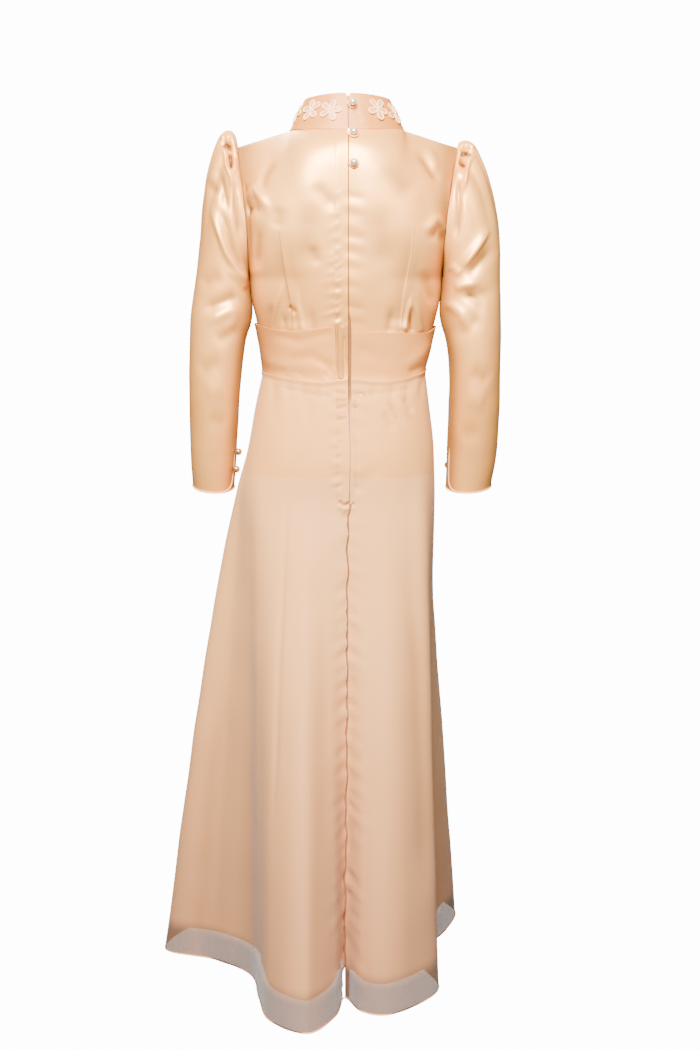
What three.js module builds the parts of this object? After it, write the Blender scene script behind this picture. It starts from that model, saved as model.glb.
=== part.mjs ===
// A long-sleeved Filipiniana gown, worn form with nobody in it: stand collar with flower applique, satin
// bodice with back darts, pleated sleeve heads, a waistband, and a full-length skirt of sheer cloth over a
// lining. Millimetres. +Z is up, +X is the wearer's left and +Y the wearer's back. The origin is the
// middle of the neck opening, level with the points where the shoulder seams meet the collar.
import * as THREE from 'three';
import { mergeVertices } from 'three/addons/utils/BufferGeometryUtils.js';

// ---------------------------------------------------------------- driving sizes
const SEAM = 0.3; // air between two pieces that are sewn together
const CLOTH = { satin: 1.2, sheer: 1.0, lining: 1.0, collar: 2.4, band: 1.6, tape: 0.8 };
const HEM_Z = -1437;
const LINING_SHORTER = 48; // how far the lining's edge is above the sheer hem
const ROLLED_HEM = 1.4; // extra thickness of the rolled edge of the sheer cloth
const UNDERARM_Z = -245;
const ZIP_TOP_Z = -72;
const ZIP_END_Z = -621;
const ZIP_SLOT = 4; // the slot between the two back edges, over the zip
const LAP = { share: 0.063, raised: 1.3 }; // the left back edge is folded over the zip, about 19 mm wide
const WAIST = { side: -407, back: -427, front: -402 }; // height of the waist seam round the body
const BAND = { topZ: -325, standOff: 0.8, flare: 2, leftStart: 1.5, rightStart: 11 };
const PEARL = { radius: 5.5, baseRadius: 4.2, baseHeight: 1.6 };
const LOOP_RADIUS = 1.1;
const PIPING_RADIUS = 1.7;

// The figure that the pattern was cut for. left, right, back and front are half measures from the middle
// of the body.
const FIGURE = [
  { z: -220, left: 166, right: 161, back: 110, front: 112 },
  { z: -275, left: 161, right: 157, back: 104, front: 122 },
  { z: -325, left: 153, right: 148, back: 95, front: 108 },
  { z: -370, left: 147, right: 140, back: 88, front: 98 },
  { z: -415, left: 145, right: 133, back: 86, front: 95 },
  { z: -470, left: 159, right: 143, back: 102, front: 103 },
  { z: -523, left: 168, right: 149, back: 118, front: 108 },
  { z: -585, left: 182, right: 152, back: 125, front: 110 },
];
const ROUNDNESS = 2.25; // superellipse exponent of the figure's sections; 2 is an ellipse

// Fold lines of the skirt, in order round the hem from the centre back towards the wearer's left. angle:
// degrees round the body at the waist. hemX, hemY: where the line meets the hem. startZ: the height at
// which it leaves the body. ease: under 1 it swings out early, over 1 late.
const FOLDS = [
  { name: 'centre_back', angle: 0, hemX: 4, hemY: 226, startZ: -620, ease: 1.1 },
  { name: 'back_left_inner', angle: 9, hemX: 18, hemY: 300, startZ: -610, ease: 1.15 },
  { name: 'back_left_crest', angle: 22, hemX: 62, hemY: 368, startZ: -600, ease: 1.1 },
  { name: 'back_left_outer', angle: 38, hemX: 126, hemY: 316, startZ: -590, ease: 1.05 },
  { name: 'back_left_flank', angle: 54, hemX: 147, hemY: 228, startZ: -560, ease: 1.0 },
  { name: 'left_hollow', angle: 68, hemX: 166, hemY: 128, startZ: -520, ease: 1.0 },
  { name: 'left_slope', angle: 80, hemX: 230, hemY: 58, startZ: -585, ease: 0.9 },
  { name: 'left_crest', angle: 92, hemX: 325, hemY: 8, startZ: -585, ease: 0.77 },
  { name: 'left_front', angle: 108, hemX: 296, hemY: -100, startZ: -585, ease: 0.9 },
  { name: 'front_left_hollow', angle: 125, hemX: 212, hemY: -172, startZ: -540, ease: 1.0 },
  { name: 'front_left_crest', angle: 142, hemX: 168, hemY: -285, startZ: -560, ease: 1.0 },
  { name: 'front_left_inner', angle: 160, hemX: 84, hemY: -322, startZ: -560, ease: 1.05 },
  { name: 'centre_front', angle: 178, hemX: 6, hemY: -268, startZ: -560, ease: 1.1 },
  { name: 'front_right_inner', angle: 196, hemX: -66, hemY: -318, startZ: -560, ease: 1.05 },
  { name: 'front_right_crest', angle: 213, hemX: -146, hemY: -290, startZ: -560, ease: 1.0 },
  { name: 'right_crest', angle: 230, hemX: -204, hemY: -196, startZ: -540, ease: 0.85 },
  { name: 'right_front', angle: 247, hemX: -182, hemY: -88, startZ: -560, ease: 0.95 },
  { name: 'right_side', angle: 268, hemX: -142, hemY: -2, startZ: -600, ease: 1.0 },
  { name: 'right_hollow', angle: 287, hemX: -132, hemY: 82, startZ: -600, ease: 1.0 },
  { name: 'back_right_flank', angle: 305, hemX: -156, hemY: 170, startZ: -560, ease: 0.9 },
  { name: 'back_right_outer', angle: 322, hemX: -134, hemY: 232, startZ: -590, ease: 1.05 },
  { name: 'back_right_crest', angle: 337, hemX: -70, hemY: 294, startZ: -600, ease: 1.1 },
  { name: 'back_right_inner', angle: 350, hemX: -24, hemY: 282, startZ: -610, ease: 1.15 },
];
const LEFT_SEAM = FOLDS.findIndex((fold) => fold.name === 'left_crest');
const RIGHT_SEAM = FOLDS.findIndex((fold) => fold.name === 'right_side');

// Rings of a sleeve from the armhole down. outerX, outerZ and innerX, innerZ: the ring's points furthest
// from and nearest to the body, on the left arm. rightOuter, rightInner: the same X on the right arm, and
// rightDrop: how much lower its crown lies. depth: half the ring from front to back. y: the ring's middle.
// lean: how much lower its back is than its middle, because the forearm swings forward. pleat: height of
// the pleats on the sleeve head.
const SLEEVE = [
  ring({ outerX: 187, outerZ: -14, innerX: 167, innerZ: -247, depth: 63, y: 1, pleat: 5 }, [188, 163, 5]),
  ring({ outerX: 197, outerZ: -5, innerX: 168, innerZ: -250, depth: 65, y: 1, pleat: 7 }, [200, 163, 12]),
  ring({ outerX: 212, outerZ: -11, innerX: 168, innerZ: -254, depth: 67, y: 1, pleat: 6 }, [214, 164, 12]),
  ring({ outerX: 226, outerZ: -38, innerX: 168, innerZ: -260, depth: 68, y: 1, pleat: 4 }, [227, 164, 7]),
  ring({ outerX: 237, outerZ: -76, innerX: 168, innerZ: -267, depth: 67, y: 2, pleat: 2.5 }, [239, 164, 2]),
  ring({ outerX: 245, outerZ: -125, innerX: 168, innerZ: -278, depth: 64, y: 3, pleat: 1 }, [252, 164, 0]),
  ring({ outerX: 250, outerZ: -182, innerX: 168, innerZ: -294, depth: 61, y: 5 }, [260, 165, 0]),
  ring({ outerX: 258, outerZ: -245, innerX: 172, innerZ: -320, depth: 58, y: 7 }, [261, 168, 0]),
  ring({ outerX: 267, outerZ: -310, innerX: 177, innerZ: -352, depth: 56, y: 9, lean: 2 }, [263, 173, 0]),
  ring({ outerX: 271, outerZ: -395, innerX: 181, innerZ: -410, depth: 52, y: 6, lean: 5 }, [263, 175, 0]),
  ring({ outerX: 272, outerZ: -475, innerX: 187, innerZ: -482, depth: 49, y: -4, lean: 6 }, [263, 174, 0]),
  ring({ outerX: 272, outerZ: -545, innerX: 192, innerZ: -550, depth: 45, y: -16, lean: 7 }, [260, 173, 0]),
  ring({ outerX: 270, outerZ: -602, innerX: 197, innerZ: -606, depth: 42, y: -27, lean: 8 }, [252, 172, 0]),
];
function ring(left, [rightOuter, rightInner, rightDrop]) {
  return { pleat: 0, lean: 0, ...left, rightOuter, rightInner, rightDrop };
}
const PLEATS = { count: 5, halfSpan: 78, columns: 4 }; // degrees of the crown each side of the shoulder
const UNDERARM_COLUMNS = 9;

// Back buttons and flowers, by their angle round the neck or height on the centre back.
const BACK_BUTTONS = [
  { z: 38, x: -9 },
  { z: -10, x: -11 },
  { z: -58, x: -12 },
];
const CUFF_BUTTON_Z = [-542, -572];
const CUFF_BUTTON_SIDE = [
  { x: 233, y: -22, fromX: 150, fromY: 30 },
  { x: -216, y: -22, fromX: -150, fromY: -75 },
];
const FLOWER_ANGLES = [19, 46, 80, 112, 141, 168, -38, -68, -102, -133, -160];
const FLOWERS = { radius: 18.5, above: 0.45, thickness: 1.5, petals: 5, perPetal: 3, heart: 0.42, heights: [0.5, 0.56] };

// ---------------------------------------------------------------- materials
const finish = (color, roughness) => new THREE.MeshStandardMaterial({ color, roughness, metalness: 0 });
const satin = finish(0xf2cfae, 0.35);
const sheer = finish(0xe6c8ae, 0.7);
const liningCloth = finish(0xf0c8a4, 0.6);
const bandCloth = finish(0xf0c9a8, 0.5);
const pearl = finish(0xf3efe8, 0.2);
const flowerCloth = finish(0xf2c6bc, 0.5);
const tapeCloth = finish(0xcf9f78, 0.7);

// ---------------------------------------------------------------- small maths
const radians = THREE.MathUtils.degToRad;
const lerp = THREE.MathUtils.lerp;
const clamp = THREE.MathUtils.clamp;
const steps = (from, to, count) => Array.from({ length: count + 1 }, (_, i) => lerp(from, to, i / count));
const signedPower = (value, power) => Math.sign(value) * Math.abs(value) ** power;
const vec = (x, y, z) => new THREE.Vector3(x, y, z);

// A smooth curve through four values, at t between the middle two.
function throughFour(before, from, to, after, t) {
  const slopeFrom = (to - before) / 2;
  const slopeTo = (after - from) / 2;
  const t2 = t * t;
  const t3 = t2 * t;
  const ends = (2 * t3 - 3 * t2 + 1) * from + (3 * t2 - 2 * t3) * to;
  return ends + (t3 - 2 * t2 + t) * slopeFrom + (t3 - t2) * slopeTo;
}

// A column of a table whose rows go down in z, read smoothly at one height.
function readTable(table, column, z) {
  const last = table.length - 1;
  const found = table.findIndex((row, i) => i < last && z > table[i + 1].z);
  const i = found < 0 ? last - 1 : found;
  const t = clamp((z - table[i].z) / (table[i + 1].z - table[i].z), 0, 1);
  const value = (row) => table[clamp(row, 0, last)][column];
  return throughFour(value(i - 1), value(i), value(i + 1), value(i + 2), t);
}

// ---------------------------------------------------------------- cloth walls
function normalOf(point, u, v) {
  const small = 1e-3;
  const alongU = point(u + small, v).sub(point(u - small, v));
  const alongV = point(u, v + small).sub(point(u, v - small));
  return alongU.cross(alongV).normalize();
}

// Joins an outer and an inner grid of points into one closed wall. A tube has no first and last column.
function closedWall(outer, inner, tube) {
  const columns = outer.length;
  const rows = outer[0].length;
  const positions = [...outer.flat(), ...inner.flat()].flatMap((p) => [p.x, p.y, p.z]);
  const at = (side, i, j) => side * columns * rows + (i % columns) * rows + j;
  const index = [];
  const quad = (a, b, c, d) => index.push(a, b, c, a, c, d);
  for (let i = 0; i < (tube ? columns : columns - 1); i += 1) {
    for (let j = 0; j < rows - 1; j += 1) {
      quad(at(0, i, j), at(0, i + 1, j), at(0, i + 1, j + 1), at(0, i, j + 1));
      quad(at(1, i, j), at(1, i, j + 1), at(1, i + 1, j + 1), at(1, i + 1, j));
    }
    quad(at(0, i, 0), at(1, i, 0), at(1, i + 1, 0), at(0, i + 1, 0));
    quad(at(0, i, rows - 1), at(0, i + 1, rows - 1), at(1, i + 1, rows - 1), at(1, i, rows - 1));
  }
  if (!tube) {
    const end = columns - 1;
    for (let j = 0; j < rows - 1; j += 1) {
      quad(at(0, 0, j), at(0, 0, j + 1), at(1, 0, j + 1), at(1, 0, j));
      quad(at(0, end, j), at(1, end, j), at(1, end, j + 1), at(0, end, j + 1));
    }
  }
  const geometry = new THREE.BufferGeometry();
  geometry.setAttribute('position', new THREE.Float32BufferAttribute(positions, 3));
  geometry.setIndex(index);
  return facingOut(geometry);
}

function signedVolume(geometry) {
  const position = geometry.getAttribute('position');
  const index = geometry.index;
  const corner = (k) => new THREE.Vector3().fromBufferAttribute(position, index.getX(k));
  let sum = 0;
  for (let k = 0; k < index.count; k += 3) sum += corner(k).dot(corner(k + 1).cross(corner(k + 2)));
  return sum / 6;
}

function facingOut(geometry) {
  if (signedVolume(geometry) < 0) geometry.index.array.reverse();
  geometry.computeVertexNormals();
  return geometry;
}

// One cut piece of cloth. point(u, v) is its outer face and out is +1 or -1, the side of the surface that
// faces out. startGap and endGap pull its first and last columns back along the cloth. inset lays it
// inside the surface that point gives, and relief raises its outer face alone.
function clothWall(piece) {
  const { point, columns, rows, thickness, out, startGap, endGap, inset, relief, normal, tube } = piece;
  const grid = columns.map((u) => rows.map((v) => {
    const direction = (normal && normal(u, v)) || normalOf(point, u, v).multiplyScalar(out);
    return { place: point(u, v).addScaledVector(direction, inset ? -inset(u, v) : 0), direction, u, v };
  }));
  if (!tube) {
    const last = grid.length - 1;
    const pull = (cell, next, gap) => {
      const along = next.place.clone().sub(cell.place).normalize();
      cell.place.addScaledVector(along, gap);
    };
    rows.forEach((v, j) => {
      pull(grid[0][j], grid[1][j], startGap ? startGap(v) : SEAM / 2);
      pull(grid[last][j], grid[last - 1][j], endGap ? endGap(v) : SEAM / 2);
    });
  }
  const moved = (cell, distance) => cell.place.clone().addScaledVector(cell.direction, distance);
  const outer = grid.map((column) => column.map((cell) => moved(cell, relief ? relief(cell.u, cell.v) : 0)));
  const inner = grid.map((column) => column.map((cell) => moved(cell, -thickness)));
  return closedWall(outer, inner, tube);
}

const gown = new THREE.Group();
function add(name, geometry, material) {
  const mesh = new THREE.Mesh(geometry, material);
  mesh.name = name;
  gown.add(mesh);
  return mesh;
}

// ---------------------------------------------------------------- the figure and the seams on it
// Degrees go from the centre back, 0, over the wearer's left, 90, to the centre front, 180, and the right,
// 270.
function figurePoint(degrees, z) {
  const s = Math.sin(radians(degrees));
  const c = Math.cos(radians(degrees));
  const across = readTable(FIGURE, s >= 0 ? 'left' : 'right', z);
  const deep = readTable(FIGURE, c >= 0 ? 'back' : 'front', z);
  return vec(across * signedPower(s, 2 / ROUNDNESS), deep * signedPower(c, 2 / ROUNDNESS), z);
}

function waistZ(degrees) {
  const c = Math.cos(radians(degrees));
  return lerp(WAIST.side, c >= 0 ? WAIST.back : WAIST.front, c * c);
}

const NECK = { across: 97, back: 68, front: 88, backZ: -3, frontZ: -48 };
const SHOULDER_END = { left: vec(187, 0, -28), right: vec(-187, 0, -28) };

function neckline(degrees) {
  const s = Math.sin(radians(degrees));
  const c = Math.cos(radians(degrees));
  const deep = c >= 0 ? NECK.back : NECK.front;
  const low = c >= 0 ? NECK.backZ : NECK.frontZ;
  return vec(NECK.across * s, deep * c, low * c * c);
}

// The armhole's depth towards the back and the front, and how far it runs in half way up.
const ARMHOLE = { back: 62, front: 56, hollow: 6 };

// side is +1 on the wearer's left and -1 on the right; face is +1 on the back and -1 on the front.
function armhole(side, face, v) {
  const deepest = face > 0 ? ARMHOLE.back : ARMHOLE.front;
  const bottom = figurePoint(side > 0 ? 90 : 270, UNDERARM_Z);
  const top = side > 0 ? SHOULDER_END.left : SHOULDER_END.right;
  const rise = clamp(v, 0, 1);
  const swing = Math.sin(Math.PI * rise ** 0.9) ** 0.8;
  const hollow = -side * ARMHOLE.hollow * Math.sin(Math.PI * rise);
  return vec(lerp(bottom.x, top.x, v) + hollow, face * deepest * swing, lerp(bottom.z, top.z, v));
}

// Depth of the centre back and centre front lines at a third and two thirds of the way up from the underarm.
const CENTRE_DEPTHS = { back: [113, 104], front: [118, 110] };

function centreLine(face, v) {
  const rise = Math.sin((Math.PI / 2) * v);
  const degrees = face > 0 ? 0 : 180;
  const start = Math.abs(figurePoint(degrees, UNDERARM_Z).y);
  const between = face > 0 ? CENTRE_DEPTHS.back : CENTRE_DEPTHS.front;
  const depths = [start, ...between, face > 0 ? NECK.back : NECK.front];
  const span = depths.length - 1;
  const i = clamp(Math.floor(v * span), 0, span - 1);
  const at = (k) => depths[clamp(k, 0, span)];
  const deep = throughFour(at(i - 1), at(i), at(i + 1), at(i + 2), v * span - i);
  return vec(0, face * deep, lerp(UNDERARM_Z, neckline(degrees).z, rise));
}

const NECK_SHARE = 0.5; // share of a panel's top edge that is neckline; the rest is shoulder seam
function topEdge(side, face, u) {
  if (u <= NECK_SHARE) {
    const turn = 90 * (u / NECK_SHARE);
    return neckline(face > 0 ? side * turn : 180 - side * turn);
  }
  const neckPoint = neckline(90 * side);
  const end = side > 0 ? SHOULDER_END.left : SHOULDER_END.right;
  return neckPoint.lerp(end, (u - NECK_SHARE) / (1 - NECK_SHARE));
}

// The top edge with its corner at the neck point rounded off, more so further down from it.
function softTopEdge(side, face, u, v) {
  const reach = 0.24 * (1 - v);
  const offsets = steps(-reach, reach, 4);
  const sum = offsets.reduce((total, offset) => total.add(topEdge(side, face, u + offset)), vec(0, 0, 0));
  return sum.divideScalar(offsets.length);
}

// Half of the bodice front or back above the underarm: a patch between the section at the underarm, the
// centre line, the armhole, and the neckline with the shoulder seam. It rises steeply first and turns over
// towards the seam last.
function yokePoint(side, face, u, v) {
  const share = { x: v, y: 1 - Math.cos((Math.PI / 2) * v), z: Math.sin((Math.PI / 2) * v) };
  const ruledAt = (at) => {
    const bottom = figurePoint(sectionDegrees(side, face, at), UNDERARM_Z);
    const top = softTopEdge(side, face, at, v);
    const across = lerp(bottom.x, top.x, share.x);
    return vec(across, lerp(bottom.y, top.y, share.y), lerp(bottom.z, top.z, share.z));
  };
  const ruled = ruledAt(u);
  const centreOff = centreLine(face, v).sub(ruledAt(0));
  const edgeOff = armhole(side, face, v).sub(ruledAt(1));
  return centreOff.lerp(edgeOff, u).add(ruled);
}

function sectionDegrees(side, face, u) {
  const turn = 90 * clamp(u, -0.2, 1.2);
  return face > 0 ? side * turn : 180 - side * turn;
}

// Soft fullness of the bust on the front, from the darts.
const BUST = { fullness: 15, fromCentre: 76, z: -268, spread: 52 };
function bust(point) {
  const away = (Math.abs(point.x) - BUST.fromCentre) ** 2 + (point.z - BUST.z) ** 2;
  return BUST.fullness * Math.exp(-away / (2 * BUST.spread ** 2));
}

// v from 0 at the waist seam to BAND_SHARE at the waistband's top edge, WAIST_SHARE at the underarm, and 1
// at the neckline and shoulder seam.
const BAND_SHARE = 0.25;
const WAIST_SHARE = 0.45;
function sideZ(degrees, v) {
  if (v <= BAND_SHARE) return lerp(waistZ(degrees) + SEAM, BAND.topZ, v / BAND_SHARE);
  return lerp(BAND.topZ, UNDERARM_Z, (v - BAND_SHARE) / (WAIST_SHARE - BAND_SHARE));
}

function bodicePoint(side, face, u, v) {
  const degrees = sectionDegrees(side, face, u);
  const point = v <= WAIST_SHARE
    ? figurePoint(degrees, sideZ(degrees, v))
    : yokePoint(side, face, u, (v - WAIST_SHARE) / (1 - WAIST_SHARE));
  if (face < 0) point.y -= bust(point);
  return point;
}

// ---------------------------------------------------------------- bodice
// Columns stand at the same places round the neck on the bodice and the collar, so that their seam matches.
const DART = { u: 5 / 12, half: 0.014, depth: 1, tip: 0.72 };
const LAP_EDGE = [LAP.share, LAP.share + 0.006];
const BACK_NECK_COLUMNS = [0, ...LAP_EDGE, 2 / 12, 3 / 12, 4 / 12];
const SHOULDER_COLUMNS = steps(NECK_SHARE, 1, 5);
const DART_COLUMNS = [DART.u - DART.half, DART.u, DART.u + DART.half];
const BACK_COLUMNS = [...BACK_NECK_COLUMNS, ...DART_COLUMNS, ...SHOULDER_COLUMNS];
const FRONT_COLUMNS = [...steps(0, NECK_SHARE, 6).slice(0, -1), ...SHOULDER_COLUMNS];
const BODICE_ROWS = [
  ...steps(0, BAND_SHARE, 2),
  ...steps(BAND_SHARE, WAIST_SHARE, 2).slice(1),
  ...steps(WAIST_SHARE, 1, 7).slice(1),
];
const ZIP_TOP_SHARE = BODICE_ROWS.find((v) => v > WAIST_SHARE && bodicePoint(1, 1, 0, v).z > ZIP_TOP_Z);

// Sewn edges share one direction on both sides of the seam, so that the two walls don't run into each
// other.
function seamNormal(side, u, v) {
  if (v === 1 && u >= NECK_SHARE) return vec(side * 0.25, 0, 1).normalize();
  if (u === 1 && v <= WAIST_SHARE) return vec(side, 0, 0);
  return null;
}

function backSlot(v) {
  return v <= ZIP_TOP_SHARE ? ZIP_SLOT / 2 : SEAM;
}

function backPanel(side) {
  return clothWall({
    point: (u, v) => bodicePoint(side, 1, u, v),
    columns: BACK_COLUMNS,
    rows: BODICE_ROWS,
    thickness: CLOTH.satin,
    out: -side,
    normal: (u, v) => seamNormal(side, u, v),
    inset: (u, v) => (u === DART.u && v < DART.tip ? DART.depth * Math.min(1, (DART.tip - v) * 4) : 0),
    relief: (u, v) => (side > 0 && u <= LAP_EDGE[0] && v < 1 ? LAP.raised : 0),
    startGap: backSlot,
  });
}

function frontPanel() {
  const columns = [...FRONT_COLUMNS.map((u) => -u).reverse(), ...FRONT_COLUMNS.slice(1)];
  const point = (u, v) => bodicePoint(u < 0 ? -1 : 1, -1, Math.abs(u), v);
  return clothWall({
    point,
    columns,
    rows: BODICE_ROWS,
    thickness: CLOTH.satin,
    out: 1,
    normal: (u, v) => seamNormal(Math.sign(u), Math.abs(u), v),
  });
}

// ---------------------------------------------------------------- sleeves
// turn is in degrees round the sleeve: 0 at the shoulder, 90 at the back, 180 at the underarm, 270 at the
// front.
const CROWN_TURNS = steps(-PLEATS.halfSpan, PLEATS.halfSpan, PLEATS.count * PLEATS.columns);
const UNDER_TURNS = steps(PLEATS.halfSpan, 360 - PLEATS.halfSpan, UNDERARM_COLUMNS + 1).slice(1, -1);
const SLEEVE_TURNS = [...CROWN_TURNS, ...UNDER_TURNS];

function armholeRing(side, turn) {
  const around = ((turn % 360) + 360) % 360;
  const face = around <= 180 ? 1 : -1;
  const fromTop = around <= 180 ? around : 360 - around;
  const point = armhole(side, face, 1 - fromTop / 180);
  point.x += side * (SEAM + 0.3);
  return point;
}

function pleatWave(turn) {
  const signed = ((turn + 180) % 360) - 180;
  const share = signed / PLEATS.halfSpan; // from -1 at the front end of the pleats to 1 at the back
  if (Math.abs(share) > 1) return 0;
  const fade = Math.cos((share * Math.PI) / 2) ** 0.5;
  return fade * Math.cos(share * PLEATS.count * Math.PI);
}

function sleeveRing(side, row, turn) {
  const outerX = side > 0 ? row.outerX : -row.rightOuter;
  const innerX = side > 0 ? row.innerX : -row.rightInner;
  const outer = vec(outerX, row.y, row.outerZ - (side > 0 ? 0 : row.rightDrop));
  const inner = vec(innerX, row.y, row.innerZ);
  const middle = outer.clone().add(inner).multiplyScalar(0.5);
  const toOuter = outer.clone().sub(middle);
  const lift = 1 + (row.pleat * pleatWave(turn)) / toOuter.length();
  return middle
    .addScaledVector(toOuter, lift * Math.cos(radians(turn)))
    .add(vec(0, lift * row.depth, -row.lean).multiplyScalar(Math.sin(radians(turn))));
}

// s counts rings: 0 is the armhole seam.
function sleevePoint(side, turn, s) {
  const rowAt = (k) => SLEEVE[Math.min(k, SLEEVE.length) - 1];
  const ringAt = (k) => (k <= 0 ? armholeRing(side, turn) : sleeveRing(side, rowAt(k), turn));
  const k = clamp(Math.floor(s), 0, SLEEVE.length - 1);
  return ringAt(k).lerp(ringAt(k + 1), s - k);
}

function sleeve(side) {
  return clothWall({
    point: (turn, s) => sleevePoint(side, turn, s),
    columns: SLEEVE_TURNS,
    rows: steps(0, SLEEVE.length, SLEEVE.length),
    thickness: CLOTH.satin,
    out: -side,
    tube: true,
  });
}

// A round cord of cloth laid along a path.
function cordAlong(points, radius, pathSteps, sides) {
  const section = new THREE.Shape(steps(0, 2 * Math.PI, sides).slice(0, -1).map(
    (angle) => new THREE.Vector2(radius * Math.cos(angle), radius * Math.sin(angle)),
  ));
  const path = new THREE.CatmullRomCurve3(points);
  const made = new THREE.ExtrudeGeometry(section, { steps: pathSteps, extrudePath: path, curveSegments: 1 });
  return weld(made);
}

function weld(geometry) {
  geometry.deleteAttribute('normal');
  geometry.deleteAttribute('uv');
  return facingOut(mergeVertices(geometry, 1e-3));
}

// The piping closes round the cuff's edge, just under it.
function cuffPiping(side) {
  const around = steps(0, 360, 24).slice(0, -1);
  const profile = steps(0, 2 * Math.PI, 6).slice(0, -1);
  const last = SLEEVE.length;
  const rings = around.map((turn) => {
    const edge = sleevePoint(side, turn, last);
    const outward = normalOf((t, s) => sleevePoint(side, t, s), turn, last - 0.01).multiplyScalar(-side);
    const centre = edge.clone().addScaledVector(outward, -CLOTH.satin / 2);
    centre.z -= PIPING_RADIUS + SEAM;
    return profile.map((angle) => centre.clone()
      .addScaledVector(outward, PIPING_RADIUS * Math.cos(angle))
      .add(vec(0, 0, PIPING_RADIUS * Math.sin(angle))));
  });
  return ringSolid(rings);
}

// Rings of points joined into a closed ring-shaped solid.
function ringSolid(rings) {
  const sides = rings[0].length;
  const positions = rings.flat().flatMap((p) => [p.x, p.y, p.z]);
  const at = (i, j) => (i % rings.length) * sides + (j % sides);
  const index = [];
  for (let i = 0; i < rings.length; i += 1) {
    for (let j = 0; j < sides; j += 1) {
      index.push(at(i, j), at(i + 1, j), at(i + 1, j + 1), at(i, j), at(i + 1, j + 1), at(i, j + 1));
    }
  }
  const geometry = new THREE.BufferGeometry();
  geometry.setAttribute('position', new THREE.Float32BufferAttribute(positions, 3));
  geometry.setIndex(index);
  return facingOut(geometry);
}

// ---------------------------------------------------------------- collar
const COLLAR_TOP = { across: 70, toRight: 3, back: 58, front: 64 };
const COLLAR_HEIGHT = { back: 57, side: 50, front: 52 };
const HALF_NECK_ANGLES = [...BACK_NECK_COLUMNS.map((u) => (90 * u) / NECK_SHARE), ...steps(75, 180, 7)];
const fromRight = (angles) => angles.map((angle) => 360 - angle).reverse();
const COLLAR_ANGLES = [...HALF_NECK_ANGLES, ...fromRight(HALF_NECK_ANGLES).slice(1)];
function collarPoint(degrees, v) {
  const s = Math.sin(radians(degrees));
  const c = Math.cos(radians(degrees));
  const base = neckline(degrees).add(vec(0, 0, 2 * SEAM));
  const height = lerp(COLLAR_HEIGHT.side, c >= 0 ? COLLAR_HEIGHT.back : COLLAR_HEIGHT.front, c * c);
  const deep = c >= 0 ? COLLAR_TOP.back : COLLAR_TOP.front;
  const top = vec(COLLAR_TOP.across * s - COLLAR_TOP.toRight, deep * c, neckline(degrees).z + height);
  return base.lerp(top, v);
}

function collar() {
  return clothWall({
    point: collarPoint,
    columns: COLLAR_ANGLES,
    rows: steps(0, 1, 3),
    thickness: CLOTH.collar,
    out: -1,
    startGap: () => 2 * SEAM,
    endGap: () => 2 * SEAM,
  });
}

// A five-petalled flower that lies on the collar.
function flower(degrees, v, tilt) {
  const { petals, perPetal, heart, radius } = FLOWERS;
  const around = steps(0, 360, petals * perPetal).slice(0, -1);
  const petalShare = (angle) => Math.abs(Math.cos(radians((petals / 2) * (angle - tilt)))) ** 0.7;
  const reach = (angle) => radius * lerp(heart, 1, petalShare(angle));
  const onCollar = (across, up, height) => {
    const here = collarPoint(degrees, v);
    const perDegree = collarPoint(degrees + 1, v).distanceTo(here);
    const perShare = collarPoint(degrees, 1).distanceTo(collarPoint(degrees, 0));
    const u = degrees + across / perDegree;
    const w = v + up / perShare;
    return collarPoint(u, w).addScaledVector(normalOf(collarPoint, u, w), -height);
  };
  const layer = (height) => [
    [onCollar(0, 0, height)],
    ...[0.5, 1].map((share) => around.map((angle) => {
      const r = share * reach(angle);
      return onCollar(r * Math.sin(radians(angle)), r * Math.cos(radians(angle)), height);
    })),
  ];
  return discSolid(layer(FLOWERS.above + FLOWERS.thickness), layer(FLOWERS.above));
}

// A closed plate from an upper and a lower set of rings, each a middle point and rings round it.
function discSolid(upper, lower) {
  const count = upper[1].length;
  const all = [...upper.flat(), ...lower.flat()];
  const half = all.length / 2;
  const at = (side, ring, i) => side * half + (ring === 0 ? 0 : 1 + (ring - 1) * count + (i % count));
  const rings = upper.length;
  const index = [];
  [0, 1].forEach((side) => {
    for (let i = 0; i < count; i += 1) {
      const fan = [at(side, 0, 0), at(side, 1, i), at(side, 1, i + 1)];
      index.push(...(side ? fan.reverse() : fan));
      for (let ring = 1; ring < rings - 1; ring += 1) {
        const a = at(side, ring, i);
        const b = at(side, ring + 1, i);
        const c = at(side, ring + 1, i + 1);
        const d = at(side, ring, i + 1);
        index.push(...(side ? [a, d, c, a, c, b] : [a, b, c, a, c, d]));
      }
    }
  });
  for (let i = 0; i < count; i += 1) {
    const rim = [at(0, rings - 1, i), at(1, rings - 1, i), at(1, rings - 1, i + 1), at(0, rings - 1, i + 1)];
    index.push(rim[0], rim[1], rim[2], rim[0], rim[2], rim[3]);
  }
  const geometry = new THREE.BufferGeometry();
  geometry.setAttribute('position', new THREE.Float32BufferAttribute(all.flatMap((p) => [p.x, p.y, p.z]), 3));
  geometry.setIndex(index);
  return facingOut(geometry);
}

// ---------------------------------------------------------------- waistband
// Rows go up. Its lower edge follows the waist seam and its upper edge stands a little away from the
// bodice.
function bandPoint(degrees, v) {
  const z = lerp(waistZ(degrees) + SEAM, BAND.topZ, v);
  const point = figurePoint(degrees, z);
  const out = vec(Math.sin(radians(degrees)), Math.cos(radians(degrees)), 0);
  const bustOver = Math.cos(radians(degrees)) < 0 ? bust(point) : 0;
  point.y -= bustOver;
  return point.addScaledVector(out, BAND.standOff + CLOTH.band + BAND.flare * v * v);
}

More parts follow.
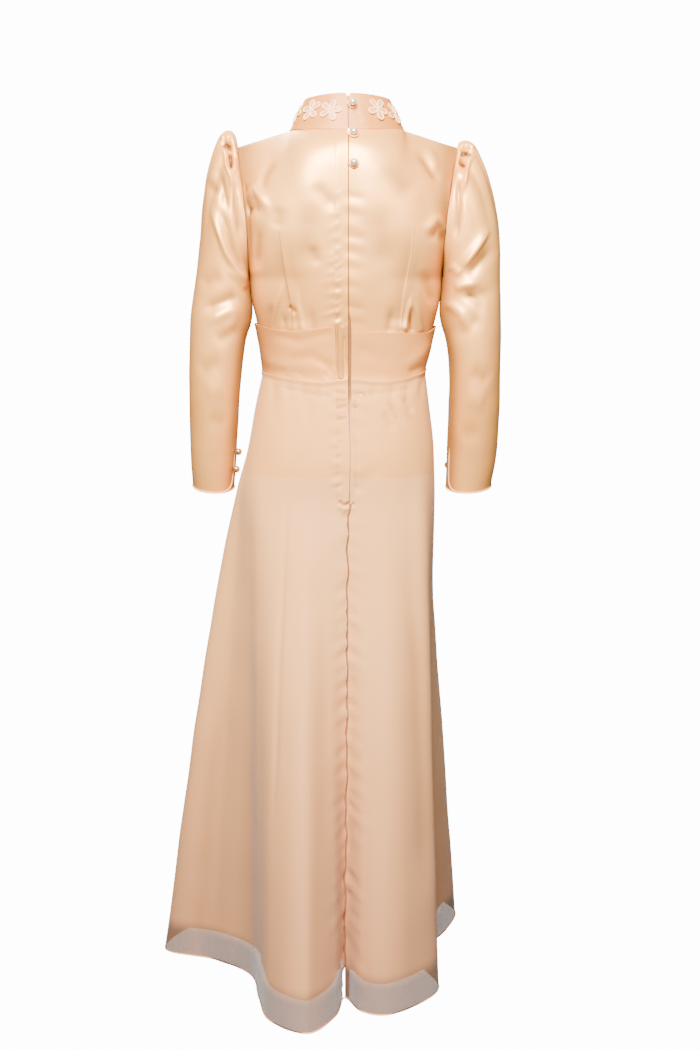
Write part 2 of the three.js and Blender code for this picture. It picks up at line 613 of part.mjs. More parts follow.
const BACK_BAND_ANGLES = BACK_COLUMNS.map((u) => 90 * u);
const FRONT_BAND_ANGLES = FRONT_COLUMNS.map((u) => 90 * u);
function band(columns, startGap, endGap) {
  return clothWall({
    point: bandPoint,
    columns,
    rows: steps(0, 1, 2),
    thickness: CLOTH.band,
    out: -1,
    startGap,
    endGap,
  });
}

// The upright strip that covers the lap at waistband height.
function placket() {
  const outward = LAP.raised + SEAM + CLOTH.band;
  return clothWall({
    point: (u, v) => bodicePoint(1, 1, u, v),
    columns: [0, LAP.share],
    rows: BODICE_ROWS.filter((v) => v <= BAND_SHARE),
    thickness: CLOTH.band,
    out: -1,
    inset: () => -outward,
    startGap: () => ZIP_SLOT / 2,
    endGap: () => 1,
  });
}

// ---------------------------------------------------------------- skirt
function foldPoint(fold, z) {
  const body = figurePoint(fold.angle, Math.max(z, FIGURE[FIGURE.length - 1].z));
  const t = clamp((fold.startZ - z) / (fold.startZ - HEM_Z), 0, 1);
  const share = t ** fold.ease;
  return vec(lerp(body.x, fold.hemX, share), lerp(body.y, fold.hemY, share), z);
}

// u counts fold lines round the skirt, v goes from 0 at the waist seam to 1 at the hem.
function skirtPoint(u, v) {
  const count = FOLDS.length;
  const i = Math.floor(u);
  const fold = (k) => FOLDS[((k % count) + count) % count];
  const degreesAt = (k) => fold(k).angle + 360 * Math.floor(k / count);
  const degrees = lerp(degreesAt(i), degreesAt(i + 1), u - i);
  const z = lerp(waistZ(degrees) - SEAM, HEM_Z, v);
  const near = [i - 1, i, i + 1, i + 2].map((k) => foldPoint(fold(k), z));
  const along = (axis) => throughFour(...near.map((p) => p[axis]), u - i);
  return vec(along('x'), along('y'), z);
}

const LINING_END = 1 - LINING_SHORTER / (WAIST.side - HEM_Z);
const SKIRT_ROWS = [0, 0.06, 0.13, 0.2, 0.3, 0.42, 0.55, 0.68, 0.82, LINING_END, 0.99, 1];
const ZIP_SKIRT_ROWS = SKIRT_ROWS.filter((v) => lerp(WAIST.back, HEM_Z, v) > ZIP_END_Z - 10);
const ZIP_END_SHARE = ZIP_SKIRT_ROWS[ZIP_SKIRT_ROWS.length - 1];

function skirtPanel(fromFold, toFold, perFold, startGap, endGap) {
  return clothWall({
    point: skirtPoint,
    columns: steps(fromFold, toFold, (toFold - fromFold) * perFold),
    rows: SKIRT_ROWS,
    thickness: CLOTH.sheer,
    out: 1,
    relief: (u, v) => (v === 1 ? ROLLED_HEM / 2 : 0),
    startGap,
    endGap,
  });
}

const LINING_APART = { waist: 1, hem: 7, fullFrom: 0.06 }; // air between the lining and the sheer cloth
const liningAir = (v) => lerp(LINING_APART.waist, LINING_APART.hem, Math.min(1, v / LINING_APART.fullFrom));

function liningPanel(fromFold, toFold, perFold, startGap, endGap) {
  return clothWall({
    point: skirtPoint,
    columns: steps(fromFold, toFold, (toFold - fromFold) * perFold),
    rows: SKIRT_ROWS.filter((v) => v <= LINING_END),
    thickness: CLOTH.lining,
    out: 1,
    inset: (u, v) => CLOTH.sheer + liningAir(v),
    startGap,
    endGap,
  });
}

// ---------------------------------------------------------------- zip, buttons and loops
const ZIP_TAPE_HALF = 9;
const LINING_CLEAR_OF_ZIP = ZIP_TAPE_HALF + 4;

// The tape lies flat behind the slot, from the end of the zip in the skirt up to its top in the bodice.
function zipTape() {
  const behind = CLOTH.satin + 2 * SEAM;
  const below = ZIP_SKIRT_ROWS.slice(1).map((v) => skirtPoint(0, v)).reverse();
  const above = BODICE_ROWS.filter((v) => v <= ZIP_TOP_SHARE).map((v) => bodicePoint(1, 1, 0, v));
  const middle = [...below, ...above];
  return clothWall({
    point: (x, k) => middle[k].clone().setX(x),
    columns: [-ZIP_TAPE_HALF, ZIP_TAPE_HALF],
    rows: middle.map((point, k) => k),
    thickness: CLOTH.tape,
    normal: () => vec(0, 1, 0),
    inset: () => behind,
    startGap: () => 0,
    endGap: () => 0,
  });
}

// Where a ray meets a piece, and the way its cloth faces there.
function seatOn(mesh, from, towards) {
  const hit = new THREE.Raycaster(from, towards.clone().normalize()).intersectObject(mesh)[0];
  return { place: hit.point, outward: hit.face.normal.clone() };
}

// Places a button whose own axis is +Y so that it stands on the cloth.
function button(place, outward, height) {
  const { radius, baseRadius, baseHeight } = PEARL;
  const centre = baseHeight + radius * 0.86;
  const profile = [
    new THREE.Vector2(0, 0),
    new THREE.Vector2(baseRadius, 0),
    new THREE.Vector2(baseRadius * 0.8, baseHeight * 0.8),
    ...steps(-50, 90, 5).map((angle) => new THREE.Vector2(
      angle === 90 ? 0 : radius * Math.cos(radians(angle)),
      centre + radius * Math.sin(radians(angle)),
    )),
  ];
  const geometry = weld(new THREE.LatheGeometry(profile, 8));
  const turn = new THREE.Quaternion().setFromUnitVectors(vec(0, 1, 0), outward);
  geometry.applyQuaternion(turn);
  const seat = place.clone().addScaledVector(outward, height);
  geometry.translate(seat.x, seat.y, seat.z);
  return geometry;
}

// A loop of thin cloth tube from the left edge round a button's foot.
function loop(place, outward, height) {
  const sideways = vec(1, 0, 0).projectOnPlane(outward).normalize();
  const up = outward.clone().cross(sideways).normalize();
  const reach = PEARL.baseRadius + LOOP_RADIUS + 0.6;
  const edge = -SEAM - place.x;
  const low = height + LOOP_RADIUS;
  const at = (across, rise) => place.clone()
    .addScaledVector(sideways, across)
    .addScaledVector(up, rise)
    .addScaledVector(outward, low);
  const onRound = (angle) => at(reach * Math.cos(radians(angle)), reach * Math.sin(radians(angle)));
  const endsApart = 2 * LOOP_RADIUS;
  const points = [at(edge, endsApart), ...steps(50, 310, 6).map(onRound), at(edge, -endsApart)];
  return cordAlong(points, LOOP_RADIUS, 12, 5);
}

// ---------------------------------------------------------------- the whole gown
const zipGap = (v) => (v <= ZIP_END_SHARE ? ZIP_SLOT / 2 : SEAM / 2);
const liningZipGap = (v) => (v <= ZIP_END_SHARE ? LINING_CLEAR_OF_ZIP : SEAM / 2);
const frontAngles = [
  ...FRONT_BAND_ANGLES.map((angle) => 180 - angle).reverse(),
  ...FRONT_BAND_ANGLES.slice(1).map((angle) => 180 + angle),
];
const lastFold = FOLDS.length;

const collarMesh = add('collar', collar(), satin);
add('bodice_front', frontPanel(), satin);
add('bodice_back_left', backPanel(1), satin);
const backRight = add('bodice_back_right', backPanel(-1), satin);
const sleeves = [add('sleeve_left', sleeve(1), satin), add('sleeve_right', sleeve(-1), satin)];
add('cuff_piping_left', cuffPiping(1), satin);
add('cuff_piping_right', cuffPiping(-1), satin);
add('waistband_back_left', band(BACK_BAND_ANGLES.slice(LAP_EDGE.length), () => BAND.leftStart), bandCloth);
add('waistband_front', band(frontAngles), bandCloth);
add('waistband_back_right', band(fromRight(BACK_BAND_ANGLES), undefined, () => BAND.rightStart), bandCloth);
add('waistband_placket', placket(), bandCloth);
add('skirt_back_left', skirtPanel(0, LEFT_SEAM, 4, zipGap), sheer);
add('skirt_front', skirtPanel(LEFT_SEAM, RIGHT_SEAM, 3), sheer);
add('skirt_back_right', skirtPanel(RIGHT_SEAM, lastFold, 4, undefined, zipGap), sheer);
add('lining_back_left', liningPanel(0, LEFT_SEAM, 2, liningZipGap), liningCloth);
add('lining_front', liningPanel(LEFT_SEAM, RIGHT_SEAM, 2), liningCloth);
add('lining_back_right', liningPanel(RIGHT_SEAM, lastFold, 2, undefined, liningZipGap), liningCloth);
add('zip_tape', zipTape(), tapeCloth);

const farBehind = 400;
BACK_BUTTONS.forEach(({ x, z }, i) => {
  const carrier = z > 0 ? collarMesh : backRight;
  const { place, outward } = seatOn(carrier, vec(x, farBehind, z), vec(0, -1, 0));
  add(`back_button_${i + 1}`, button(place, outward, 2 * SEAM), pearl);
  add(`back_loop_${i + 1}`, loop(place, outward, 2 * SEAM), satin);
});

// The cuff buttons stand on the inside of the forearm, one above the other, beside the slit.
sleeves.forEach((mesh, arm) => {
  const { x, fromX, y, fromY } = CUFF_BUTTON_SIDE[arm];
  CUFF_BUTTON_Z.forEach((z, i) => {
    const { place, outward } = seatOn(mesh, vec(fromX, fromY, z), vec(x - fromX, y - fromY, 0));
    add(`cuff_button_${arm ? 'right' : 'left'}_${i + 1}`, button(place, outward, SEAM), pearl);
  });
});

FLOWER_ANGLES.forEach((degrees, i) => {
  const height = FLOWERS.heights[i % FLOWERS.heights.length];
  add(`collar_flower_${i + 1}`, flower(degrees, height, 24 + 31 * i), flowerCloth);
});

export default gown;
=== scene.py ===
import functools
import math
import random
from collections import namedtuple

import bmesh
import bpy
from mathutils import Matrix, Vector, noise


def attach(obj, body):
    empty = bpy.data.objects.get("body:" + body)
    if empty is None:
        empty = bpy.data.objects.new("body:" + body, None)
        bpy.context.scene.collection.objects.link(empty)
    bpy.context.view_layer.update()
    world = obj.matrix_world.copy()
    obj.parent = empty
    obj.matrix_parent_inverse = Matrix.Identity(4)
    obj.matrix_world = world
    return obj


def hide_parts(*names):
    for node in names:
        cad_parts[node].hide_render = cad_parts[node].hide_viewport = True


# A long-sleeved Filipiniana gown. Lengths are millimetres until a mesh is finished, and then metres.
# +X is the wearer's left, +Y the back, +Z up. Degrees go from the centre back, 0, over the wearer's left,
# 90, to the centre front, 180, and the right, 270.
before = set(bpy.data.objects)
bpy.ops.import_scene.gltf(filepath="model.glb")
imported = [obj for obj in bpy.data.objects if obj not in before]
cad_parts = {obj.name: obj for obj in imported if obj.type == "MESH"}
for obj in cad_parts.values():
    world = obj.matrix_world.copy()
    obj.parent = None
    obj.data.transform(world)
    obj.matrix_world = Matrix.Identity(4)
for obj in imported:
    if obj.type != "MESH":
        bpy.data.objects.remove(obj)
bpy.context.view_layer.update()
MM = 0.001
chance = random.Random(11)

# ---------------- driving sizes
CLOTH = {"satin": 1.2, "sheer": 1.0, "lining": 1.0, "collar": 2.2, "band": 1.5}
SEAM = 0.3
HEM_Z = -1437
LINING_SHORTER = 48
UNDERARM_Z = -245
ZIP_TOP_Z = -72
ZIP_END_Z = -621
LAP_SHARE = 0.063
LAP_RAISED = 1.3
WAIST = {"side": -407, "back": -427, "front": -402}
# The waist seam isn't quite level: it rises this much round the back, by degrees from the centre back.
WAIST_TURNS = [-180, -90, -70, -40, -22, -8, 0, 12, 25, 60, 90, 180]
WAIST_LIFTS = [0, 7, 4, 3, 5, 11, 12, 6, 5, 4, 1.5, 0]
BAND = {"top_z": -325, "stand_off": 1.4, "flare": 1.6, "overlap": 2.0}
PEARL = {"radius": 6.2, "rim": 6.9, "cord": 1.5, "above_cloth": 1.2, "above_cuff": 0.2}
PIPING_RADIUS = 1.7
HEM_ROLL_RADIUS = 1.3

Section = namedtuple("Section", "z left right back front")
FIGURE = [
    Section(-220, 166, 161, 110, 112),
    Section(-275, 164, 160, 104, 122),
    Section(-325, 154, 149, 95, 108),
    Section(-370, 147, 140, 88, 98),
    Section(-415, 145, 133, 86, 95),
    Section(-470, 159, 143, 102, 103),
    Section(-523, 168, 149, 118, 108),
    Section(-585, 182, 152, 125, 110),
]
ROUNDNESS = 2.25

# The skirt's fold lines round the hem.
Line = namedtuple("Line", "angle hem_x hem_y start_z ease")
SKIRT_LINES = [
    Line(0, 4, 226, -620, 1.1),
    Line(9, 18, 300, -610, 1.15),
    Line(22, 62, 368, -600, 1.1),
    Line(38, 126, 316, -590, 1.05),
    Line(54, 147, 228, -560, 1.0),
    Line(68, 166, 128, -520, 1.0),
    Line(80, 230, 58, -585, 0.9),
    Line(92, 325, 8, -585, 0.77),
    Line(108, 296, -100, -585, 0.9),
    Line(125, 212, -172, -540, 1.0),
    Line(142, 168, -285, -560, 1.0),
    Line(160, 84, -322, -560, 1.05),
    Line(178, 6, -268, -560, 1.1),
    Line(196, -66, -318, -560, 1.05),
    Line(213, -146, -290, -560, 1.0),
    Line(230, -204, -196, -540, 0.85),
    Line(247, -182, -88, -560, 0.95),
    Line(268, -142, -2, -600, 1.0),
    Line(287, -132, 82, -600, 1.0),
    Line(305, -156, 170, -560, 0.9),
    Line(322, -134, 232, -590, 1.05),
    Line(337, -70, 294, -600, 1.1),
    Line(350, -24, 282, -610, 1.15),
]
SKIRT_COUNT = len(SKIRT_LINES)
LEFT_SEAM = 7
RIGHT_SEAM = 17
SKIRT_ROWS = [0, 0.06, 0.13, 0.2, 0.3, 0.42, 0.55, 0.68, 0.82, 0.95, 0.99, 1]

# A sleeve's rings from the armhole down, with the right arm's own widths.
Ring = namedtuple(
    "Ring", "outer_x outer_z inner_x inner_z depth y right_outer right_inner right_drop pleat lean"
)
SLEEVE_RINGS = [
    Ring(187, -14, 166, -247, 63, 1, 188, 162, 9, 5, 0),
    Ring(197, -5, 166, -250, 65, 1, 200, 161, 17, 7, 0),
    Ring(212, -11, 165, -254, 67, 1, 214, 161, 18, 6, 0),
    Ring(226, -38, 164, -260, 68, 1, 227, 160, 11, 4, 0),
    Ring(237, -76, 164, -268, 67, 2, 239, 160, 2, 2.5, 0),
    Ring(245, -125, 163, -280, 64, 3, 252, 159, 0, 1, 0),
    Ring(250, -182, 161, -300, 61, 5, 260, 157, 0, 0, 0),
    Ring(258, -245, 164, -322, 58, 7, 261, 160, 0, 0, 0),
    Ring(267, -310, 173, -354, 56, 9, 263, 169, 0, 0, 2),
    Ring(271, -395, 181, -410, 52, 6, 263, 175, 0, 0, 5),
    Ring(272, -475, 187, -482, 49, -4, 263, 174, 0, 0, 6),
    Ring(272, -545, 192, -550, 45, -16, 260, 173, 0, 0, 7),
    Ring(270, -602, 197, -606, 42, -27, 252, 172, 0, 0, 8),
]
PLEATS = {"count": 5, "half_span": 78}
RING_STEP = 46
CUFF = len(SLEEVE_RINGS)

NECK = {"across": 97, "back": 68, "front": 88, "back_z": -3, "front_z": -48}
SHOULDER_END = {1: Vector((187, 0, -28)), -1: Vector((-187, 0, -28))}
ARMHOLE = {1: 62, -1: 56, "hollow": 6}
CENTRE_DEPTHS = {1: [113, 104], -1: [118, 110]}
BUST = {"fullness": 15, "from_centre": 76, "z": -268, "spread": 52}
NECK_SHARE = 0.5
BAND_SHARE = 0.25
WAIST_SHARE = 0.45
COLLAR_TOP = {"across": 72.5, "to_right": 0.5, "back": 58, "front": 64}
COLLAR_HEIGHT = {"back": 60, "side": 51, "front": 52}
COLLAR_CORNER = 6.0
COLLAR_ENDS = (-0.8, 358.0)
FLOWER_ANGLES = [19, 46, 80, 112, 141, 168, -38, -68, -102, -133, -160]
FLOWER_HEIGHTS = [0.52, 0.57, 0.5, 0.56, 0.5, 0.56, 0.59, 0.5, 0.56, 0.5, 0.56]
BACK_BUTTONS = [(-9, 40), (-11, -14), (-12, -61)]
CUFF_BUTTON_Z = [-542, -572]
# Where a cuff's buttons sit, as x and y, and a place from which the sleeve is met on the way there.
CUFF_BUTTON_AT = {"left": (233, -22, 150, 30), "right": (-216, -22, -150, -75)}
LAP_STITCHED = (-94, -324)
SKIRT_STITCHED = (-428, -614)


# ---------------- small maths
def lerp(start, end, share):
    return start + (end - start) * share


def clamp(value, low=0.0, high=1.0):
    return max(low, min(high, value))


def smooth_step(low, high, value):
    t = clamp((value - low) / (high - low))
    return t * t * (3 - 2 * t)


def bell(away, width):
    """1 at the middle, and falling smoothly to nothing about two widths off."""
    return math.exp(-((away / width) ** 2))


def sine_cosine(degrees):
    return math.sin(math.radians(degrees)), math.cos(math.radians(degrees))


def signed_power(value, power):
    return math.copysign(abs(value) ** power, value)


def through_four(before, start, end, after, t):
    """A smooth curve through four values, at t between the middle two."""
    t2 = t * t
    t3 = t2 * t
    ends = start * (2 * t3 - 3 * t2 + 1) + end * (3 * t2 - 2 * t3)
    return ends + (end - before) * ((t3 - 2 * t2 + t) / 2) + (after - start) * ((t3 - t2) / 2)


def through_rows(rows, values, at):
    """A smooth curve through values that stand at uneven rows."""
    last = len(rows) - 1
    i = next((k for k in range(last) if at < rows[k + 1]), last - 1)
    slope = []
    for k in (i, i + 1):
        low, high = max(k - 1, 0), min(k + 1, last)
        slope.append((values[high] - values[low]) / (rows[high] - rows[low]))
    span = rows[i + 1] - rows[i]
    t = clamp((at - rows[i]) / span)
    t2 = t * t
    t3 = t2 * t
    ends = values[i] * (2 * t3 - 3 * t2 + 1) + values[i + 1] * (3 * t2 - 2 * t3)
    return ends + slope[0] * (span * (t3 - 2 * t2 + t)) + slope[1] * (span * (t3 - t2))


# ---------------- the figure and its seams
def read_figure(column, z):
    last = len(FIGURE) - 1
    i = next((k for k in range(last) if z > FIGURE[k + 1].z), last - 1)
    t = clamp((z - FIGURE[i].z) / (FIGURE[i + 1].z - FIGURE[i].z))
    rows = [getattr(FIGURE[int(clamp(k, 0, last))], column) for k in range(i - 1, i + 3)]
    return through_four(*rows, t)


def figure_point(degrees, z):
    s, c = sine_cosine(degrees)
    across = read_figure("left" if s >= 0 else "right", z)
    deep = read_figure("back" if c >= 0 else "front", z)
    return Vector((across * signed_power(s, 2 / ROUNDNESS), deep * signed_power(c, 2 / ROUNDNESS), z))


def waist_z(degrees):
    _, c = sine_cosine(degrees)
    lift = through_rows(WAIST_TURNS, WAIST_LIFTS, (degrees + 180) % 360 - 180)
    return lerp(WAIST["side"], WAIST["back" if c >= 0 else "front"], c * c) + lift


def neckline(degrees):
    s, c = sine_cosine(degrees)
    face = "back" if c >= 0 else "front"
    return Vector((NECK["across"] * s, NECK[face] * c, NECK[face + "_z"] * c * c))


def armhole(side, face, v):
    bottom = figure_point(90 if side > 0 else 270, UNDERARM_Z)
    top = SHOULDER_END[side]
    rise = clamp(v)
    swing = math.sin(math.pi * rise**0.9) ** 0.8 if 0 < rise < 1 else 0
    hollow = -side * ARMHOLE["hollow"] * math.sin(math.pi * rise)
    return Vector((lerp(bottom.x, top.x, v) + hollow, face * ARMHOLE[face] * swing, lerp(bottom.z, top.z, v)))


def centre_line(face, v):
    degrees = 0 if face > 0 else 180
    start = abs(figure_point(degrees, UNDERARM_Z).y)
    depths = [start, *CENTRE_DEPTHS[face], NECK["back" if face > 0 else "front"]]
    span = len(depths) - 1
    i = int(clamp(math.floor(v * span), 0, span - 1))
    near = [depths[int(clamp(k, 0, span))] for k in range(i - 1, i + 3)]
    deep = through_four(*near, v * span - i)
    rise = math.sin(math.pi / 2 * v)
    return Vector((0, face * deep, lerp(UNDERARM_Z, neckline(degrees).z, rise)))


def top_edge(side, face, u):
    if u <= NECK_SHARE:
        turn = 90 * u / NECK_SHARE
        return neckline(side * turn if face > 0 else 180 - side * turn)
    return neckline(90 * side).lerp(SHOULDER_END[side], (u - NECK_SHARE) / (1 - NECK_SHARE))


def soft_top_edge(side, face, u, v):
    reach = 0.24 * (1 - v)
    spots = [top_edge(side, face, u + reach * share) for share in (-1, -0.5, 0, 0.5, 1)]
    return sum(spots, Vector()) / len(spots)


def section_degrees(side, face, u):
    turn = 90 * clamp(u, -0.2, 1.2)
    return side * turn if face > 0 else 180 - side * turn


def yoke_point(side, face, u, v):
    rise = math.sin(math.pi / 2 * v)
    over = 1 - math.cos(math.pi / 2 * v)

    def ruled(at):
        bottom = figure_point(section_degrees(side, face, at), UNDERARM_Z)
        top = soft_top_edge(side, face, at, v)
        return Vector((lerp(bottom.x, top.x, v), lerp(bottom.y, top.y, over), lerp(bottom.z, top.z, rise)))

    centre_off = centre_line(face, v) - ruled(0)
    edge_off = armhole(side, face, v) - ruled(1)
    return centre_off.lerp(edge_off, u) + ruled(u)


def bust(point):
    away = (abs(point.x) - BUST["from_centre"]) ** 2 + (point.z - BUST["z"]) ** 2
    return BUST["fullness"] * math.exp(-away / (2 * BUST["spread"] ** 2))


def bodice_point(side, face, u, v):
    """v runs from 0 at the waist seam over BAND_SHARE and the underarm to 1 at the neck and shoulder."""
    degrees = section_degrees(side, face, u)
    if v <= BAND_SHARE:
        point = figure_point(degrees, lerp(waist_z(degrees) + SEAM, BAND["top_z"], v / BAND_SHARE))
    elif v <= WAIST_SHARE:
        share = (v - BAND_SHARE) / (WAIST_SHARE - BAND_SHARE)
        point = figure_point(degrees, lerp(BAND["top_z"], UNDERARM_Z, share))
    else:
        point = yoke_point(side, face, u, (v - WAIST_SHARE) / (1 - WAIST_SHARE))
    if face < 0:
        point.y -= bust(point)
    return point


# Where the right back edge lies down the centre back. The left one laps over the zip to LAP_EDGE_X.
RIGHT_EDGE_ROWS = [-1437, -1000, -640, -621, -600, -560, -520, -480, -432, -420, -340, -318, -300, 0]
RIGHT_EDGE_X = [-1.0, -3.4, -3.6, -8.2, -9.4, -9.6, -10.2, -7.6, -7.4, -7.0, -7.4, -6.6, -4.0, -3.6]
LAP_EDGE_ROWS = [-640, -610, -560, -520, -470, -430, 0]
LAP_EDGE_X = [-3.0, -3.2, -4.4, -4.6, -2.2, -1.6, -1.6]


def edge_x(side, z):
    """The x of a back edge at one height."""
    sewn = smooth_step(ZIP_END_Z + 4, ZIP_END_Z - 12, z)
    right = through_rows(RIGHT_EDGE_ROWS, RIGHT_EDGE_X, z) + 3.4 * sewn * noise.noise(Vector((0, 0, z / 34)))
    if side < 0:
        return right
    open_seam = 3.0 + 2.4 * noise.noise(Vector((5, 0, z / 13)))
    return lerp(through_rows(LAP_EDGE_ROWS, LAP_EDGE_X, z), right + max(open_seam, 2 * SEAM), sewn)


def back_point(side, u, v):
    corner = 0.022 * bell(u, 0.03) * smooth_step(0.9, 1, v) if side > 0 else 0
    point = bodice_point(side, 1, u, v - corner)
    point.x += edge_x(side, point.z) * smooth_step(0.07, 0, u)
    return point


# ---------------- sleeves
def armhole_ring(side, turn):
    around = turn % 360
    face = 1 if around <= 180 else -1
    from_top = around if around <= 180 else 360 - around
    point = armhole(side, face, 1 - from_top / 180)
    point.x -= side * 0.4
    return point


def pleat_wave(turn):
    """The pleats of the sleeve head: rounded crests and narrow tucks between them."""
    share = ((turn + 180) % 360 - 180) / PLEATS["half_span"]
    if abs(share) >= 1:
        return 0
    fade = math.cos(share * math.pi / 2) ** 0.5
    wave = math.cos(share * PLEATS["count"] * math.pi)
    return fade * (wave - 0.9 * math.exp(-7 * (1 + wave)))


def sleeve_ring(side, row, turn):
    outer_x = row.outer_x if side > 0 else -row.right_outer
    inner_x = row.inner_x if side > 0 else -row.right_inner
    outer = Vector((outer_x, row.y, row.outer_z - (0 if side > 0 else row.right_drop)))
    inner = Vector((inner_x, row.y, row.inner_z))
    middle = (outer + inner) / 2
    to_outer = outer - middle
    lift = 1 + row.pleat * pleat_wave(turn) / to_outer.length
    s, c = sine_cosine(turn)
    return middle + to_outer * (lift * c) + Vector((0, row.depth, -row.lean)) * (s * lift)


def sleeve_point(side, turn, s):
    """s counts rings, from 0 at the armhole seam."""
    k = int(clamp(math.floor(s), 0, CUFF - 1))
    near = []
    for n in range(k - 1, k + 3):
        row = int(clamp(n, 0, CUFF))
        near.append(sleeve_ring(side, SLEEVE_RINGS[row - 1], turn) if row else armhole_ring(side, turn))
    return through_four(*near, s - k)


# ---------------- collar, waistband and skirt
def collar_point(degrees, v):
    s, c = sine_cosine(degrees)
    base = neckline(degrees) + Vector((0, 0, 2 * SEAM))
    height = lerp(COLLAR_HEIGHT["side"], COLLAR_HEIGHT["back" if c >= 0 else "front"], c * c)
    deep = COLLAR_TOP["back" if c >= 0 else "front"]
    top_x = COLLAR_TOP["across"] * s - COLLAR_TOP["to_right"]
    return base.lerp(Vector((top_x, deep * c, neckline(degrees).z + height)), v)


def collar_cloth(degrees, v):
    """The collar with the corners of its two back ends rounded off."""
    from_end = min(degrees - COLLAR_ENDS[0], COLLAR_ENDS[1] - degrees) * 1.1
    missing = max(0.0, COLLAR_CORNER - from_end)
    lower = COLLAR_CORNER - math.sqrt(max(0.0, COLLAR_CORNER**2 - missing**2))
    rise = v * (1 - lower / COLLAR_HEIGHT["back"])
    point = collar_point(degrees, rise)
    point.x += COLLAR_TOP["to_right"] * rise * smooth_step(14, 0, from_end)
    return point


def band_top(degrees):
    """The waistband's upper edge hangs a little between the sides and the centre back."""
    turn = (degrees + 180) % 360 - 180
    if turn > 0:
        return BAND["top_z"] - 10 * bell(turn - 34, 24) + 3 * smooth_step(60, 88, turn)
    if turn > -180:
        return BAND["top_z"] - 11 - 2 * bell(turn + 46, 22) + 9 * smooth_step(-60, -88, turn)
    return BAND["top_z"]


def band_point(degrees, v):
    z = lerp(waist_z(degrees) - BAND["overlap"], band_top(degrees), v)
    point = figure_point(degrees, z)
    s, c = sine_cosine(degrees)
    if c < 0:
        point.y -= bust(point)
    off = lerp(0.3, BAND["stand_off"], smooth_step(0, 0.35, v)) + BAND["flare"] * v * v
    return point + Vector((s, c, 0)) * (off + CLOTH["band"])


def line_spot(number, z):
    line = SKIRT_LINES[number % SKIRT_COUNT]
    body = figure_point(line.angle, max(z, FIGURE[-1].z))
    share = clamp((line.start_z - z) / (line.start_z - HEM_Z)) ** line.ease
    return Vector((lerp(body.x, line.hem_x, share), lerp(body.y, line.hem_y, share), z))


@functools.cache
def skirt_column(u):
    """The skirt's points down one column, at SKIRT_ROWS."""
    i = math.floor(u)
    angles = [SKIRT_LINES[k % SKIRT_COUNT].angle + 360 * (k // SKIRT_COUNT) for k in (i, i + 1)]
    top = waist_z(lerp(*angles, u - i)) - SEAM
    column = []
    for v in SKIRT_ROWS:
        z = lerp(top, HEM_Z, v)
        near = [line_spot(k, z) for k in range(i - 1, i + 3)]
        point = through_four(*near, u - i)
        point.z = z
        column.append(point)
    return column


def skirt_point(u, v):
    return through_rows(SKIRT_ROWS, skirt_column(u), v)


def off_centre(u):
    """How many fold lines lie between u and the centre back."""
    return min(u, SKIRT_COUNT - u)


def half_of(u):
    """1 in the left half of the skirt and -1 in the right one."""
    return 1 if u < SKIRT_COUNT / 2 else -1


def skirt_cloth(u, v):
    """The sheer cloth, with its centre back edges drawn apart over the zip."""
    point = skirt_point(u, v)
    point.x += edge_x(half_of(u), point.z) * smooth_step(0.6, 0, off_centre(u))
    return point


def centre_back(z):
    """How far back the cloth lies on the centre back at one height."""
    if z <= WAIST["back"]:
        return skirt_point(0, (z - WAIST["back"]) / (HEM_Z - WAIST["back"])).y
    rows = [WAIST["back"], BAND["top_z"], UNDERARM_Z]
    v = through_rows(rows, [0, BAND_SHARE, WAIST_SHARE], z)
    if z > UNDERARM_Z:
        rise = clamp((z - UNDERARM_Z) / (NECK["back_z"] - UNDERARM_Z))
        v = lerp(WAIST_SHARE, 1, math.asin(rise) * 2 / math.pi)
    return bodice_point(1, 1, 0, v).y


# ---------------- creases
class Crease:
    """A soft ridge, or a trough where height is under 0, along a path of (x, z) points seen from behind.
    steep under 1 makes the side to the left of the path fall off faster."""

    def __init__(self, path, height, width, start=0.35, end=0.35, steep=1.0):
        self.peak = height
        self.width = width
        self.start = start
        self.end = end
        self.steep = steep
        lengths = [math.dist(a, b) for a, b in zip(path, path[1:])]
        total = sum(lengths)
        self.runs = []
        done = 0.0
        for a, b, length in zip(path, path[1:], lengths):
            self.runs.append((a[0], a[1], b[0] - a[0], b[1] - a[1], length**2, done / total, length / total))
            done += length
        reach = 2.4 * width
        self.low = (min(p[0] for p in path) - reach, min(p[1] for p in path) - reach)
        self.high = (max(p[0] for p in path) + reach, max(p[1] for p in path) + reach)

    def covers(self, x, z):
        return self.low[0] < x < self.high[0] and self.low[1] < z < self.high[1]

    def height(self, x, z):
        nearest = None
        for ax, az, dx, dz, length2, before, share in self.runs:
            px, pz = x - ax, z - az
            t = clamp((px * dx + pz * dz) / length2)
            ex, ez = px - t * dx, pz - t * dz
            away = ex * ex + ez * ez
            if nearest is None or away < nearest[0]:
                nearest = (away, before + t * share, dx * pz - dz * px)
        away, along, side = nearest
        width = self.width * (self.steep if side > 0 else 1)
        fade = 1.0
        if self.start:
            fade *= smooth_step(0, self.start, along)
        if self.end:
            fade *= smooth_step(0, self.end, 1 - along)
        return self.peak * fade * math.exp(-away / width**2)


def uneven(start, stop, step, spread):
    """Heights about one step apart."""
    found = []
    z = start
    while z > stop:
        found.append(z + chance.uniform(-spread, spread))
        z -= step
    return found


def puckers(x_from, x_to, heights, height, width, slope=0.0):
    """Short creases across a seam, no two alike. heights is where they start and stop, their step and its
    spread."""
    made = []
    for z in uneven(*heights):
        size = chance.uniform(0.6, 1.25)
        end_x = lerp(x_from, x_to, chance.uniform(0.6, 1.1))
        path = [(x_from, z), (end_x, z + slope * (end_x - x_from) + chance.uniform(-2, 2))]
        made.append((path, height * size, width * chance.uniform(0.8, 1.3), 0, 0.8))
    return made


def creases(*rows):
    return [Crease(*row) for row in rows]


